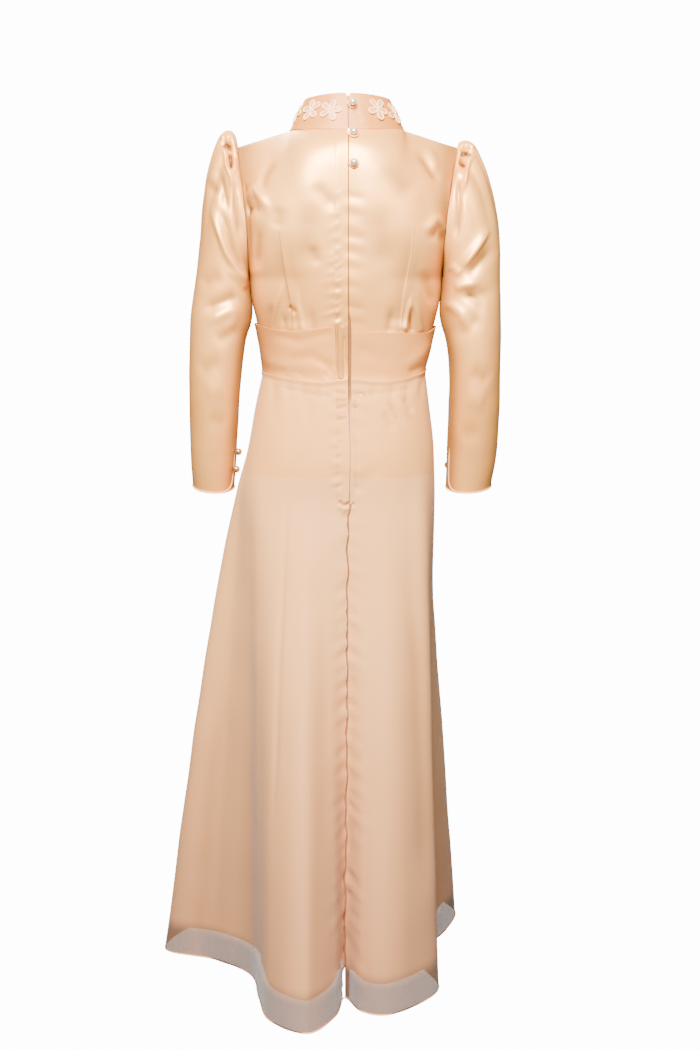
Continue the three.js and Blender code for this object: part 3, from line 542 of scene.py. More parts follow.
LEFT_DART = [(111, -173), (104, -232), (91, -302), (90, -331)]
RIGHT_DART = [(-112, -162), (-107, -213), (-97, -272), (-90, -329)]
BODICE_BACK_CREASES = creases(
    (LEFT_DART, 2.0, 9, 0.3, 0, 0.2),
    (LEFT_DART, -3.0, 22, 0.3, 0.1),
    (RIGHT_DART, 2.0, 9, 0.3, 0, 0.2),
    (RIGHT_DART, -3.0, 20, 0.3, 0.1),
    ([(98, -292), (84, -306)], -3.0, 4.5, 0.2, 0.2),
    ([(58, -190), (46, -230)], -2.0, 9),
    ([(112, -128), (118, -170)], -2.8, 12),
    ([(172, -135), (155, -98), (134, -128), (128, -150)], 5.0, 8, 0.3, 0.4),
    ([(166, -150), (154, -120), (142, -150)], -4.8, 9, 0.3, 0.3),
    ([(146, -150), (150, -240)], -4.2, 12),
    ([(176, -81), (168, -130), (166, -222)], -4.8, 6, 0.2, 0.3),
    ([(127, -329), (112, -276), (104, -236)], 5.0, 6, 0, 0.6, 0.5),
    ([(136, -329), (124, -286)], -4.2, 6, 0, 0.5),
    ([(104, -331), (108, -300)], -2.4, 5, 0, 0.6),
    ([(72, -331), (82, -290), (84, -250)], 3.4, 7, 0, 0.6, 0.5),
    ([(56, -331), (62, -290)], -2.5, 7, 0, 0.6),
    ([(-134, -190), (-152, -166), (-166, -198)], -4.2, 8, 0.3, 0.3),
    ([(-126, -176), (-148, -150), (-170, -182)], 4.2, 8, 0.3, 0.3),
    ([(-110, -270), (-96, -329)], 4.2, 6, 0.5, 0, 0.5),
    ([(-112, -280), (-122, -331)], 4.2, 6, 0.5, 0),
    ([(-108, -290), (-108, -331)], -4.8, 6, 0.5, 0),
    ([(-70, -331), (-76, -290)], -2.8, 7, 0, 0.6),
    ([(-112, -30), (-136, -66), (-160, -100)], -4.5, 9),
    ([(-132, -26), (-154, -74)], 3.4, 8),
    ([(112, -36), (134, -76), (146, -120)], -3.9, 11),
    ([(-60, -58), (-116, -116)], -3.4, 20),
    ([(56, -92), (17, -138)], -2.8, 11),
    ([(-126, -230), (-150, -300)], -3.6, 12),
    ([(62, -120), (68, -240)], -3.1, 24),
    ([(-52, -120), (-62, -250)], -3.1, 24),
    *puckers(17, 40, (-140, -210, 22, 4), 0.7, 5.0, -0.35),
    *puckers(17, 46, (-215, -322, 17, 4), 1.5, 5.0, -0.35),
    *puckers(17, 3, (-112, -200, 17, 5), 0.6, 3.2, -0.8),
    *puckers(17, 4, (-200, -324, 15, 4.5), 1.2, 3.2, -0.9),
    *puckers(17, 6, (-207, -324, 15, 4.5), -1.5, 2.4, -0.9),
    *puckers(-3, -44, (-118, -322, 29, 7), -1.0, 7.0, 0.2),
    *puckers(-3, -46, (-133, -322, 29, 5), 0.7, 7.0, 0.3),
)
BODICE_FRONT_CREASES = creases(
    ([(108, -230), (84, -331)], -2.0, 3, 0.3, 0),
    ([(-105, -228), (-82, -331)], -2.0, 3, 0.3, 0),
    ([(160, -140), (96, -200)], -1.8, 10),
    ([(-158, -150), (-100, -206)], -1.8, 9),
    ([(150, -110), (112, -152)], 1.6, 8),
    ([(-150, -100), (-116, -146)], 1.6, 8),
    ([(60, -300), (68, -331)], 1.8, 5, 0.5, 0),
    ([(-58, -298), (-70, -331)], 1.8, 5, 0.5, 0),
    ([(124, -290), (118, -331)], 2.0, 5, 0.5, 0),
    ([(-128, -286), (-120, -331)], 2.0, 5, 0.5, 0),
    ([(30, -70), (86, -120)], -1.4, 12),
    ([(-34, -74), (-80, -128)], -1.4, 12),
)
SLEEVE_BACK_CREASES = creases(
    ([(207, -23), (196, -29)], -9.5, 6.0, 0, 0),
    ([(195, -43), (192, -61)], -8.2, 4.8, 0, 0),
    ([(213, -26), (208, -11), (194, -14), (187, -34)], 3.6, 3.6, 0.1, 0.2),
    ([(212, -32), (202, -38), (201, -58), (193, -78), (188, -118)], 4.4, 3.6, 0.1, 0.4),
    ([(186, -46), (187, -66), (191, -78)], 3.6, 3.2, 0.2, 0.3),
    ([(216, -60), (206, -96), (196, -150)], -4.8, 8, 0.3, 0.4),
    ([(186, -84), (184, -130), (176, -190)], -4.5, 6, 0.2, 0.3),
    ([(228, -120), (200, -206), (168, -262)], 7.8, 10, 0.35, 0.15, 0.6),
    ([(216, -124), (188, -206), (169, -242)], -6.0, 9, 0.3, 0.2),
    ([(236, -81), (216, -112)], -3.8, 9),
    ([(200, -226), (170, -266)], 3.2, 6, 0.4, 0.15),
    ([(250, -258), (206, -240)], -2.8, 12),
    ([(250, -300), (178, -274)], -4.4, 11, 0.35, 0.2),
    ([(240, -322), (180, -292)], 4.3, 9, 0.4, 0.2),
    ([(185, -296), (200, -340)], 3.1, 8),
    ([(224, -356), (178, -326)], -3.6, 12),
    ([(256, -404), (206, -382)], -2.9, 16),
    ([(244, -440), (200, -430)], 2.4, 16),
    ([(240, -480), (200, -492)], -2.4, 16),
    ([(-205, -38), (-193, -39)], -9.0, 5.6, 0, 0),
    ([(-188, -54), (-195, -60)], -8.0, 4.4, 0, 0),
    ([(-212, -40), (-209, -26), (-196, -24), (-186, -38)], 3.6, 3.6, 0.1, 0.2),
    ([(-213, -46), (-203, -51), (-200, -68), (-192, -110)], 4.4, 3.6, 0.1, 0.4),
    ([(-184, -78), (-186, -130), (-180, -190)], -4.5, 6, 0.2, 0.3),
    ([(-196, -246), (-252, -188)], -5.2, 10, 0.25, 0.4),
    ([(-190, -236), (-218, -196), (-240, -160)], 6.2, 9, 0.25, 0.35, 0.6),
    ([(-172, -224), (-192, -242)], 3.4, 6, 0.2, 0.3),
    ([(-177, -262), (-226, -254)], 5.0, 8, 0.2, 0.4),
    ([(-182, -276), (-254, -270)], -3.4, 11, 0.3, 0.4),
    ([(-190, -262), (-221, -290), (-230, -312)], -2.6, 8),
    ([(-166, -282), (-192, -307), (-206, -340)], 4.6, 8, 0.2, 0.4),
    ([(-176, -350), (-230, -302)], -3.6, 13),
    ([(-246, -420), (-204, -400)], -2.9, 16),
    ([(-238, -456), (-196, -446)], 2.4, 16),
    ([(-228, -500), (-190, -514)], -2.4, 16),
)
SLEEVE_FRONT_CREASES = creases(
    ([(222, -150), (184, -236)], 4.6, 10, 0.35, 0.2, 0.6),
    ([(232, -118), (206, -176)], -3.6, 10),
    ([(248, -300), (186, -318)], -4.0, 10, 0.4, 0.15),
    ([(240, -332), (184, -340)], 3.8, 8, 0.4, 0.15),
    ([(246, -366), (190, -366)], -3.4, 9, 0.4, 0.15),
    ([(-220, -160), (-186, -230)], 4.4, 10, 0.35, 0.2, 0.6),
    ([(-246, -292), (-182, -312)], -4.0, 10, 0.4, 0.15),
    ([(-240, -326), (-182, -334)], 3.8, 8, 0.4, 0.15),
    ([(-244, -356), (-184, -364)], -3.2, 9, 0.4, 0.15),
)
COLLAR_CREASES = creases(
    ([(-24, 36), (-46, 14), (-72, 6)], -1.4, 5),
    ([(-20, 12), (-44, 2)], 1.0, 4),
    ([(30, 14), (60, 4), (82, -4)], -1.3, 5),
    ([(22, 34), (40, 44)], -1.0, 4),
    ([(-10, 30), (-22, 22)], -1.0, 4),
)
BAND_CREASES = creases(
    ([(18, -334), (80, -350), (140, -340)], -1.6, 8, 0.15, 0.3),
    ([(44, -411), (84, -408), (128, -400)], -2.0, 10, 0.4, 0.3),
    ([(24, -400), (38, -413)], -1.6, 7, 0.1, 0.3),
    ([(22, -412), (44, -394), (64, -386)], 1.1, 10, 0.1, 0.4, 0.7),
    ([(20, -398), (60, -376), (110, -380)], -1.8, 9, 0.1, 0.3),
    ([(90, -396), (146, -384)], 1.4, 9),
    ([(-10, -362), (-60, -378), (-100, -374)], -1.0, 12, 0.2, 0.3),
    ([(-90, -400), (-128, -372), (-146, -352)], 1.8, 9, 0.3, 0.2),
    ([(-100, -408), (-134, -392)], -1.6, 6),
)
SKIRT_CREASES = creases(
    *puckers(16, 1, (-470, -606, 21, 6), 1.2, 5.0, -0.25),
    *puckers(16, 1, (-480, -606, 22, 6), -1.1, 4.0, -0.25),
    *puckers(17, 38, (-440, -600, 28, 6), 1.6, 6.0, 0.1),
    *puckers(-10, -36, (-476, -606, 30, 8), 1.4, 7.0, 0.4),
    *puckers(-10, -30, (-490, -606, 32, 8), -1.0, 6.0, 0.4),
    *puckers(2, 34, (-636, -1425, 27, 8), 2.2, 7.0, -0.5),
    *puckers(2, 24, (-646, -1425, 34, 9), -1.3, 6.0, -0.6),
    *puckers(-4, -40, (-640, -1425, 29, 8), 2.2, 7.0, 0.5),
    *puckers(-4, -26, (-650, -1425, 36, 9), -1.3, 6.0, 0.6),
    ([(-15, -438), (-14, -480), (-17, -540), (-16, -590), (-13, -614)], -1.2, 3.0, 0.1, 0.1),
    ([(28, -434), (1, -438)], -2.8, 2.8, 0.4, 0.1),
    ([(18, -443), (0, -446)], 2.4, 3.0, 0.1, 0.1),
    ([(19, -462), (-1, -458)], -3.4, 3.2, 0.2, 0.1),
    ([(17, -480), (0, -478)], -3.2, 2.4, 0.1, 0.2),
    ([(-8, -436), (-26, -440), (-40, -452)], -2.6, 3.4, 0.1, 0.5),
    ([(-8, -446), (-24, -454), (-36, -470)], 1.6, 4.4, 0.1, 0.5),
    ([(-7, -458), (-20, -462)], -3.0, 2.6, 0.1, 0.4),
    ([(-68, -450), (-84, -476), (-100, -494)], -3.2, 5, 0.3, 0.5, 0.6),
    ([(-78, -440), (-96, -466), (-110, -484)], 2.6, 5, 0.4, 0.5),
    ([(-94, -442), (-112, -474)], -2.8, 5),
    ([(-60, -464), (-80, -502)], -2.4, 7),
    *[([(x, -414), (x + 3, -462)], -1.5, 4.5, 0, 0.7) for x in (124, 97, 72, 47, -44, -76, -103, -128)],
    *[([(x, -414), (x + 2, -452)], 1.2, 4.5, 0, 0.7) for x in (110, 84, 58, -58, -90, -117)],
    ([(-12, -440), (-60, -436), (-120, -428)], -1.6, 5, 0.1, 0.3),
    ([(20, -444), (70, -436), (130, -424)], -1.6, 5, 0.1, 0.3),
    ([(60, -430), (64, -520)], -1.6, 11, 0, 0.6),
    ([(118, -424), (128, -500)], -1.6, 11, 0, 0.6),
    ([(14, -614), (8, -620), (1, -621), (-6, -616)], -4.6, 2.4, 0.1, 0.1),
    ([(15, -622), (6, -628), (-8, -624)], 2.6, 3.4, 0.1, 0.1),
    ([(-4, -618), (-16, -622)], -2.6, 2.4, 0.1, 0.4),
    ([(26, -632), (4, -640), (-20, -636)], -1.8, 6, 0.3, 0.3),
    ([(-14, -600), (-40, -570), (-80, -540)], -1.2, 12, 0.1, 0.6),
    ([(98, -560), (112, -900), (122, -1180)], -2.0, 5.0, 0.3, 0.3),
    ([(-96, -640), (-118, -900), (-132, -1300)], -3.6, 16, 0.4, 0.2),
    ([(-70, -700), (-84, -1000), (-92, -1430)], 2.8, 20, 0.4, 0),
    ([(60, -760), (82, -1050), (96, -1430)], 3.0, 22, 0.4, 0),
    ([(36, -720), (42, -1000), (50, -1430)], -2.6, 16, 0.4, 0),
    ([(150, -700), (184, -1000), (214, -1430)], 3.0, 22, 0.4, 0),
    ([(196, -860), (240, -1100), (268, -1430)], -3.0, 20, 0.4, 0),
)


# A trough this deep gets the full painted shade, the cloth's shade colour.
CREASE_SHADE_DEPTH = 5.5


def press(bm, creases, facing, free=None):
    """Moves the cloth along its normals where creases run. facing is 1 for those on the back, -1 for the
    front. free(vert) is 0 where a seam holds the cloth still."""
    spots = []
    for vert in bm.verts:
        share = smooth_step(0.05, 0.5, facing * vert.normal.y)
        spots.append((vert.co.x, vert.co.z, share * free(vert) if free else share))
    hollow = bm.verts.layers.float["hollow"]
    moves = [0.0] * len(spots)
    for crease in creases:
        for i, (x, z, share) in enumerate(spots):
            if share and crease.covers(x, z):
                moves[i] += share * crease.height(x, z)
    for vert, move in zip(bm.verts, moves):
        vert.co += vert.normal * move
        # Troughs also paint shade: their depth, kept in the hollow attribute, darkens the cloth's colour
        # there.
        vert[hollow] = max(vert[hollow], -move / CREASE_SHADE_DEPTH)


# The height and size of each cloth's unevenness.
RIPPLES = {
    "satin": (0.7, 38),
    "back": (1.8, 74),
    "sleeve": (0.8, 42),
    "collar": (0.35, 26),
    "band": (0.6, 30),
    "sheer": (1.2, 90),
}
# How deep the cloth lies in shade beside the arms, above and on the waistband, at the seams and on the lap.
SHADES = {
    "beside_arm": 0.92,
    "above_band": 0.6,
    "inner_sleeve": 0.85,
    "sleeve_seam": 0.9,
    "band_left": 0.75,
    "band_right": 0.5,
    "lap": 0.5,
    "lap_edge": 0.45,
}


def swell(bm, amount):
    """Moves the cloth along its normals by amount(vert)."""
    for vert in bm.verts:
        vert.co += vert.normal * amount(vert)


def ripple(bm, height, size, free=None):
    """Gentle unevenness, as worn cloth always has."""
    swell(bm, lambda vert: (free(vert) if free else 1) * height * noise.noise(vert.co / size))


def shade(bm, depth):
    """Paints shade into the cloth's colour where depth(vert) is more than its own creases give."""
    hollow = bm.verts.layers.float["hollow"]
    for vert in bm.verts:
        vert[hollow] = max(vert[hollow], depth(vert))


# ---------------- making cloth
# Sharp folds would throw the inner wall far off, so a wall thicker than this many times its own is set back.
THICKEST_WALL = 1.8
WELD = 0.02
HARD_ANGLE = 0.95
Cut = namedtuple("Cut", "columns rows width height")


def cloth(name, point, across, up, cut, thickness, reverse=False, tube=False, shape=None, soften=0):
    """A wall of cloth. point(u, v) is its outer face, across and up are the ranges of u and v, cut has its
    cells and its flat size. shape(bm, u_layer, v_layer) moves the outer face before it gets its thickness."""
    bm = bmesh.new()
    uv = bm.loops.layers.uv.new("UVMap")
    # hollow carries painted shade: how far each point's colour darkens towards the cloth's shade colour.
    for layer in ("across", "up", "hollow"):
        bm.verts.layers.float.new(layer)
    u_layer, v_layer = (bm.verts.layers.float[layer] for layer in ("across", "up"))
    bmesh.ops.create_grid(bm, x_segments=cut.columns, y_segments=cut.rows, size=0.5)
    for face in bm.faces:
        face.smooth = True
        for loop in face.loops:
            at = loop.vert.co
            loop[uv].uv = ((at.x + 0.5) * cut.width * MM, (at.y + 0.5) * cut.height * MM)
    for vert in bm.verts:
        vert[u_layer] = lerp(*across, vert.co.x + 0.5)
        vert[v_layer] = lerp(*up, vert.co.y + 0.5)
        u = lerp(*across, round(vert.co.x + 0.5, 6))
        vert.co = point(u, vert[v_layer])
    if tube:
        bmesh.ops.remove_doubles(bm, verts=bm.verts, dist=WELD)
    if reverse:
        bmesh.ops.reverse_faces(bm, faces=bm.faces)
    inside = [vert for vert in bm.verts if not vert.is_boundary]
    for _ in range(soften):
        axes = {"use_axis_x": True, "use_axis_y": True, "use_axis_z": True}
        bmesh.ops.smooth_vert(bm, verts=inside, factor=0.5, **axes)
    bm.normal_update()
    if shape:
        shape(bm, u_layer, v_layer)
        bm.normal_update()
    homes = {(vert[u_layer], vert[v_layer]): (vert.co.copy(), vert.normal.copy()) for vert in bm.verts}
    bmesh.ops.solidify(bm, geom=bm.faces, thickness=thickness)
    for vert in bm.verts:
        home, outward = homes[vert[u_layer], vert[v_layer]]
        if (vert.co - home).length > THICKEST_WALL * thickness:
            vert.co = home - outward * thickness
    return finish_mesh(name, bm)


def finish_mesh(name, bm):
    """Marks hard edges, turns millimetres to metres and makes the object."""
    for edge in bm.edges:
        edge.smooth = edge.calc_face_angle(0) < HARD_ANGLE
    for face in bm.faces:
        face.smooth = True
    bmesh.ops.scale(bm, vec=(MM, MM, MM), verts=bm.verts)
    mesh = bpy.data.meshes.new(name)
    bm.to_mesh(mesh)
    bm.free()
    made = bpy.data.objects.new(name, mesh)
    bpy.context.scene.collection.objects.link(made)
    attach(made, "root")
    return made


def tube_along(bm, path, radius, sides, closed=False):
    """A round cord along a list of (place, outward) pairs."""
    count = len(path)
    rings = []
    for i, (place, outward) in enumerate(path):
        before = path[i - 1 if closed or i else i][0]
        after = path[(i + 1) % count if closed or i < count - 1 else i][0]
        along = (after - before).normalized()
        side = along.cross(outward).normalized()
        up = side.cross(along)
        matrix = Matrix((side, up, along)).transposed().to_4x4()
        matrix.translation = place
        ring = bmesh.ops.create_circle(bm, cap_ends=False, radius=radius, segments=sides, matrix=matrix)
        rings.append(list(ring["verts"]))
    pairs = list(zip(rings, rings[1:]))
    if closed:
        pairs.append((rings[-1], rings[0]))
    for low, high in pairs:
        for k in range(sides):
            n = (k + 1) % sides
            bm.faces.new((low[k], low[n], high[n], high[k]))
    if not closed:
        bm.faces.new(reversed(rings[0]))
        bm.faces.new(rings[-1])


def dress(piece, material, slot, *nodes):
    piece.data.materials.append(material)
    if nodes:
        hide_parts(*nodes)


# ---------------- materials
class Shade:
    """One value of a material's node tree. Sums on it add Math nodes."""

    def __init__(self, tree, socket=None):
        self.tree = tree
        self.socket = socket

    def add(self, kind, settings, sockets, output=0):
        node = self.tree.nodes.new("ShaderNode" + kind)
        for key, value in settings.items():
            setattr(node, key, value)
        for key, value in sockets.items():
            if isinstance(value, Shade):
                self.tree.links.new(value.socket, node.inputs[key])
            else:
                node.inputs[key].default_value = value
        return Shade(self.tree, node.outputs[output])

    def maths(self, operation, *values):
        return self.add("Math", {"operation": operation}, dict(enumerate(values)))

    def __add__(self, other):
        return self.maths("ADD", self, other)

    __radd__ = __add__

    def __sub__(self, other):
        return self.maths("SUBTRACT", self, other)

    def __rsub__(self, other):
        return self.maths("SUBTRACT", other, self)

    def __mul__(self, other):
        return self.maths("MULTIPLY", self, other)

    __rmul__ = __mul__

    def between(self, low, high):
        """0 under low, 1 over high, and smooth between."""
        settings = {"interpolation_type": "SMOOTHSTEP"}
        return self.add("MapRange", settings, {"Value": self, "From Min": low, "From Max": high})

    def mix(self, first, second):
        """first where this value is 0 and second where it is 1."""
        return self.add("Mix", {"data_type": "RGBA"}, {0: self, 6: first, 7: second}, 2)

    def bump(self, strength, distance):
        return self.add("Bump", {}, {"Strength": strength, "Distance": distance, "Height": self})


def noise_on(base, where, scale, stretch=(1, 1, 1), detail=2.0):
    placed = base.add("Mapping", {}, {"Vector": where, "Scale": stretch})
    return base.add("TexNoise", {}, {"Vector": placed, "Scale": scale, "Detail": detail})


def tone(red, green, blue):
    """A colour of 0 to 255 as the linear values that a shader takes."""
    linear = [((c / 255 + 0.055) / 1.055) ** 2.4 for c in (red, green, blue)]
    return (*linear, 1.0)


def material(name, build, **values):
    made = bpy.data.materials.new(name)
    made.use_nodes = True
    tree = made.node_tree
    shader = tree.nodes["Principled BSDF"]
    for key, value in values.items():
        shader.inputs[key.replace("_", " ")].default_value = value
    base = Shade(tree)
    places = base.add("TexCoord", {}, {}, "Object"), base.add("TexCoord", {}, {}, "UV")
    for key, value in build(base, *places).items():
        tree.links.new(value.socket, shader.inputs[key])
    return made


def woven(light, dark, weave=0.12, grain=900.0, patch=7.0, turns=(), deep=None, pit_shade=None):
    """Cloth with slow changes of tone and a fine weave, drawn out along the warp. Each of turns is a colour
    that it takes downwards, and the two heights between which it does. deep is painted shade, the colour that
    it turns towards in its creases and other shaded places, and the pit colour the darker painted shade where
    they are deepest."""

    def build(base, place, uv):
        patches = noise_on(base, place, patch, (1, 1, 0.5)).between(0.35, 0.65)
        threads = noise_on(base, uv, grain, (1, 0.12, 1), 1.0)
        wefts = noise_on(base, uv, grain, (0.12, 1, 1), 1.0)
        weft_tone = (threads * 0.5 + wefts * 0.5).between(0.3, 0.7) * 0.35
        colour = (patches * 0.65 + weft_tone).mix(light, dark)
        height = base.add("SeparateXYZ", {}, {"Vector": place}, 2)
        for lower, low, high in turns:
            colour = height.between(low, high).mix(lower, colour)
        # Painted shade: the hollow attribute darkens the colour towards deep, and towards the pit colour
        # where it is deepest.
        if deep:
            hollow = base.add("Attribute", {"attribute_name": "hollow"}, {}, 2)
            colour = (hollow * hollow).mix(colour, deep)
            if pit_shade:
                colour = hollow.between(0.95, 1.3).mix(colour, pit_shade)
        return {"Base Color": colour, "Normal": (threads + wefts).bump(weave, 0.0004)}

    return build


def satin_cloth():
    return material(
        "peach_satin",
        # The last two colours are painted shade, for creases and shaded places and for the deepest pits.
        woven(tone(248, 183, 99), tone(239, 167, 84), deep=tone(140, 96, 36), pit_shade=tone(118, 68, 16)),
        Roughness=0.43,
        Metallic=0.37,
        Specular_IOR_Level=0.6,
    )


# The sheer's colours downwards: a slightly darker tone below z -0.577 m, where the lining changes tone behind
# it; painted shade darkening it towards the hem, where the light falls off; and a dark band at the unlined
# hem, partly its lack of lining and partly painted shade of the cloth seen through it.
SHEER_TURNS = [
    (tone(221, 163, 102), -0.579, -0.575),
    (tone(190, 136, 92), -1.44, -0.7),
    (tone(112, 80, 58), -1.4, -1.37),
]


def collar_satin():
    # The last colour is painted shade for the collar's creases.
    build = woven(tone(198, 130, 56), tone(186, 117, 48), 0.15, deep=tone(160, 104, 44))
    return material("collar_satin", build, Roughness=0.52, Metallic=0.08)


def sheer_cloth():
    return material(
        "sheer_crepe",
        # The last colour is painted shade for the sheer's creases.
        woven(tone(230, 168, 94), tone(218, 154, 79), 0.3, 700.0, 4.0, SHEER_TURNS, tone(160, 104, 56)),
        Roughness=0.75,
        Alpha=0.87,
        Sheen_Weight=0.1,
        Sheen_Roughness=0.5,
    )


def lining_cloth():
    build = woven(tone(248, 186, 110), tone(242, 172, 96), 0.15, turns=[(tone(214, 150, 92), -0.58, -0.574)])
    return material("lining_cloth", build, Roughness=0.6)


def band_cloth():
    # The last colour is painted shade for the band's creases and its shaded ends.
    build = woven(tone(237, 169, 90), tone(225, 152, 74), 0.2, deep=tone(160, 96, 42))
    return material("band_crepe", build, Roughness=0.45, Metallic=0.15)


def pearl_coat():
    def build(base, place, uv):
        clouds = noise_on(base, place, 260.0)
        return {"Base Color": clouds.between(0.3, 0.7).mix(tone(240, 236, 228), tone(212, 204, 192))}

    return material("pearl", build, Roughness=0.22, Metallic=0.6, Coat_Weight=1.0, Coat_Roughness=0.08)


# The cuff buttons' colour is partly gilt and partly painted shade: darker than the back pearls because the
# cuffs lie in shade.
def gilt_and_shade_coat():
    def build(base, place, uv):
        return {"Base Color": noise_on(base, place, 260.0).mix(tone(206, 172, 120), tone(150, 112, 70))}

    return material("gilt_and_shade", build, Roughness=0.25, Metallic=0.8)


def cord_cloth():
    build = woven(tone(255, 224, 164), tone(250, 208, 140), 0.4, 1500.0)
    return material("ivory_cord", build, Roughness=0.45)


def petal_cloth():
    return material("pink_petal", woven(tone(224, 146, 124), tone(208, 126, 106), 0.25), Roughness=0.35)


def edging_cloth():
    build = woven(tone(244, 176, 104), tone(234, 158, 88), 0.4, 1200.0)
    return material("rolled_edge", build, Roughness=0.55)


def thread():
    return material("thread", woven(tone(212, 136, 70), tone(190, 116, 56), 0.4, 2000.0), Roughness=0.5)


# Above about z -0.45 m the tape's dark brown is painted shade of the narrow slot that it lies in; below, it
# turns tan.
TAPE_TURNS = [(tone(204, 150, 98), -0.46, -0.44)]


def tape_cloth():
    build = woven(tone(140, 96, 54), tone(120, 80, 42), 0.4, 1100.0, turns=TAPE_TURNS)
    return material("zip_tape", build, Roughness=0.75)


# A dark brown that is partly seam cloth and partly painted shade, for the collar's gap, the gaping skirt seam
# and the darts' lines.
def seam_and_shade_cloth():
    return material("seam_cloth_and_shade", woven(tone(156, 98, 54), tone(138, 84, 44), 0.3, 900.0), Roughness=0.7)


def zip_coil():
    def build(base, place, uv):
        return {"Base Color": noise_on(base, place, 400.0).mix(tone(176, 124, 78), tone(156, 104, 62))}

    return material("zip_coil", build, Roughness=0.35)


SATIN = satin_cloth()
COLLAR_SATIN = collar_satin()
SHEER = sheer_cloth()
LINING = lining_cloth()
BAND_CLOTH = band_cloth()
PEARL_COAT = pearl_coat()
GILT_AND_SHADE = gilt_and_shade_coat()
CORD = cord_cloth()
PETAL = petal_cloth()
EDGING = edging_cloth()
THREAD = thread()
TAPE = tape_cloth()
SEAM_AND_SHADE_CLOTH = seam_and_shade_cloth()
COIL = zip_coil()


# ---------------- bodice
BACK_CUT = Cut(124, 230, 230, 430)
FRONT_CUT = Cut(120, 100, 480, 400)
SLEEVE_CUT = Cut(138, 198, 430, 600)
COLLAR_CUT = Cut(200, 24, 500, 56)
SEAM_ROLL = {"depth": 0.7, "width": 2.4}
SEAM_FREE = 0.94


def rolled_in(away):
    """Cloth turns in towards a sewn edge. away is how far that lies off."""
    return -SEAM_ROLL["depth"] * bell(away, SEAM_ROLL["width"])


def bodice_back(side, name, node):
    def shape(bm, u_layer, v_layer):
        def clear_of_seams(vert):
            return smooth_step(0.1, 0.3, vert[u_layer]) * smooth_step(1, 0.8, vert[u_layer])

        # Painted shade beside the armholes and on the lower back above the band.
        def depth(vert):
            beside_arm = SHADES["beside_arm"] * smooth_step(0.6, 0.98, vert[u_layer])
            low = SHADES["above_band"] * smooth_step(-225, -322, vert.co.z)
            return max(beside_arm, low * smooth_step(50, 120, abs(vert.co.x)))

        def edges(vert):
            u, v = vert[u_layer], vert[v_layer]
            move = rolled_in((1 - u) * BACK_CUT.width)
            if side > 0:
                lap = smooth_step(LAP_SHARE + 0.008, LAP_SHARE - 0.008, u)
                move += LAP_RAISED * lap * smooth_step(1, 0.97, v)
            return move

        press(bm, BODICE_BACK_CREASES, 1, lambda vert: smooth_step(1, SEAM_FREE, vert[u_layer]))
        ripple(bm, *RIPPLES["satin"])
        ripple(bm, *RIPPLES["back"], clear_of_seams)
        shade(bm, depth)
        swell(bm, edges)

    def point(u, v):
        return back_point(side, u, v)

    piece = cloth(name, point, (0, 1), (0, 1), BACK_CUT, CLOTH["satin"], side > 0, shape=shape, soften=30)
    dress(piece, SATIN, "satin", node)
    return piece


def bodice_front():
    def point(u, v):
        return bodice_point(-1 if u < 0 else 1, -1, abs(u), v)

    def shape(bm, u_layer, v_layer):
        def edges(vert):
            share = (vert[u_layer] + 1) / 2
            return rolled_in(share * FRONT_CUT.width) + rolled_in((1 - share) * FRONT_CUT.width)

        press(bm, BODICE_FRONT_CREASES, -1, lambda vert: smooth_step(1, SEAM_FREE, abs(vert[u_layer])))
        ripple(bm, *RIPPLES["satin"])
        swell(bm, edges)

    piece = cloth("satin_front", point, (-1, 1), (0, 1), FRONT_CUT, CLOTH["satin"], shape=shape, soften=16)
    dress(piece, SATIN, "satin", "bodice_front")


def sleeve(side, name, node):
    def shape(bm, u_layer, v_layer):
        def free(vert):
            return smooth_step(0, 0.3, vert[v_layer])

        # Painted shade on the inner side of the sleeve and along its armhole seam.
        def depth(vert):
            turn = abs(vert[u_layer])
            inner = SHADES["inner_sleeve"] * smooth_step(92, 155, turn)
            seam = SHADES["sleeve_seam"] * bell(vert[v_layer] * RING_STEP, 14) * smooth_step(20, 50, turn)
            return max(inner, seam)

        press(bm, SLEEVE_BACK_CREASES, 1, free)
        press(bm, SLEEVE_FRONT_CREASES, -1, free)
        ripple(bm, *RIPPLES["sleeve"])
        shade(bm, depth)
        swell(bm, lambda vert: -0.8 * bell(vert[v_layer] * RING_STEP, 2.4))

    def point(turn, s):
        return sleeve_point(side, turn, s)

    piece = cloth(name, point, (-180, 180), (0, CUFF), SLEEVE_CUT, CLOTH["satin"], side > 0, True, shape, 2)
    dress(piece, SATIN, "satin", node)
    return piece


def sleeve_spot(side, turn, s):
    """A point of a sleeve, and the way out from the arm there."""
    edge = sleeve_point(side, turn, s)
    middle = sleeve_point(side, 0, s).lerp(sleeve_point(side, 180, s), 0.5)
    return edge, (edge - middle).normalized()


def cuff_piping(side, name, node):
    path = []
    for turn in range(0, 360, 5):
        edge, outward = sleeve_spot(side, turn, CUFF)
        place = edge - outward * (CLOTH["satin"] / 2) - Vector((0, 0, PIPING_RADIUS * 0.6))
        path.append((place, outward))
    bm = bmesh.new()
    tube_along(bm, path, PIPING_RADIUS, 10, True)
    dress(finish_mesh(name, bm), EDGING, "satin", node)


def collar():
    def shape(bm, u_layer, v_layer):
        press(bm, COLLAR_CREASES, 1)
        ripple(bm, *RIPPLES["collar"])

    thick = CLOTH["collar"]
    piece = cloth("stand_collar", collar_cloth, COLLAR_ENDS, (0, 1), COLLAR_CUT, thick, True, shape=shape)
    dress(piece, COLLAR_SATIN, "satin", "collar")
    return piece


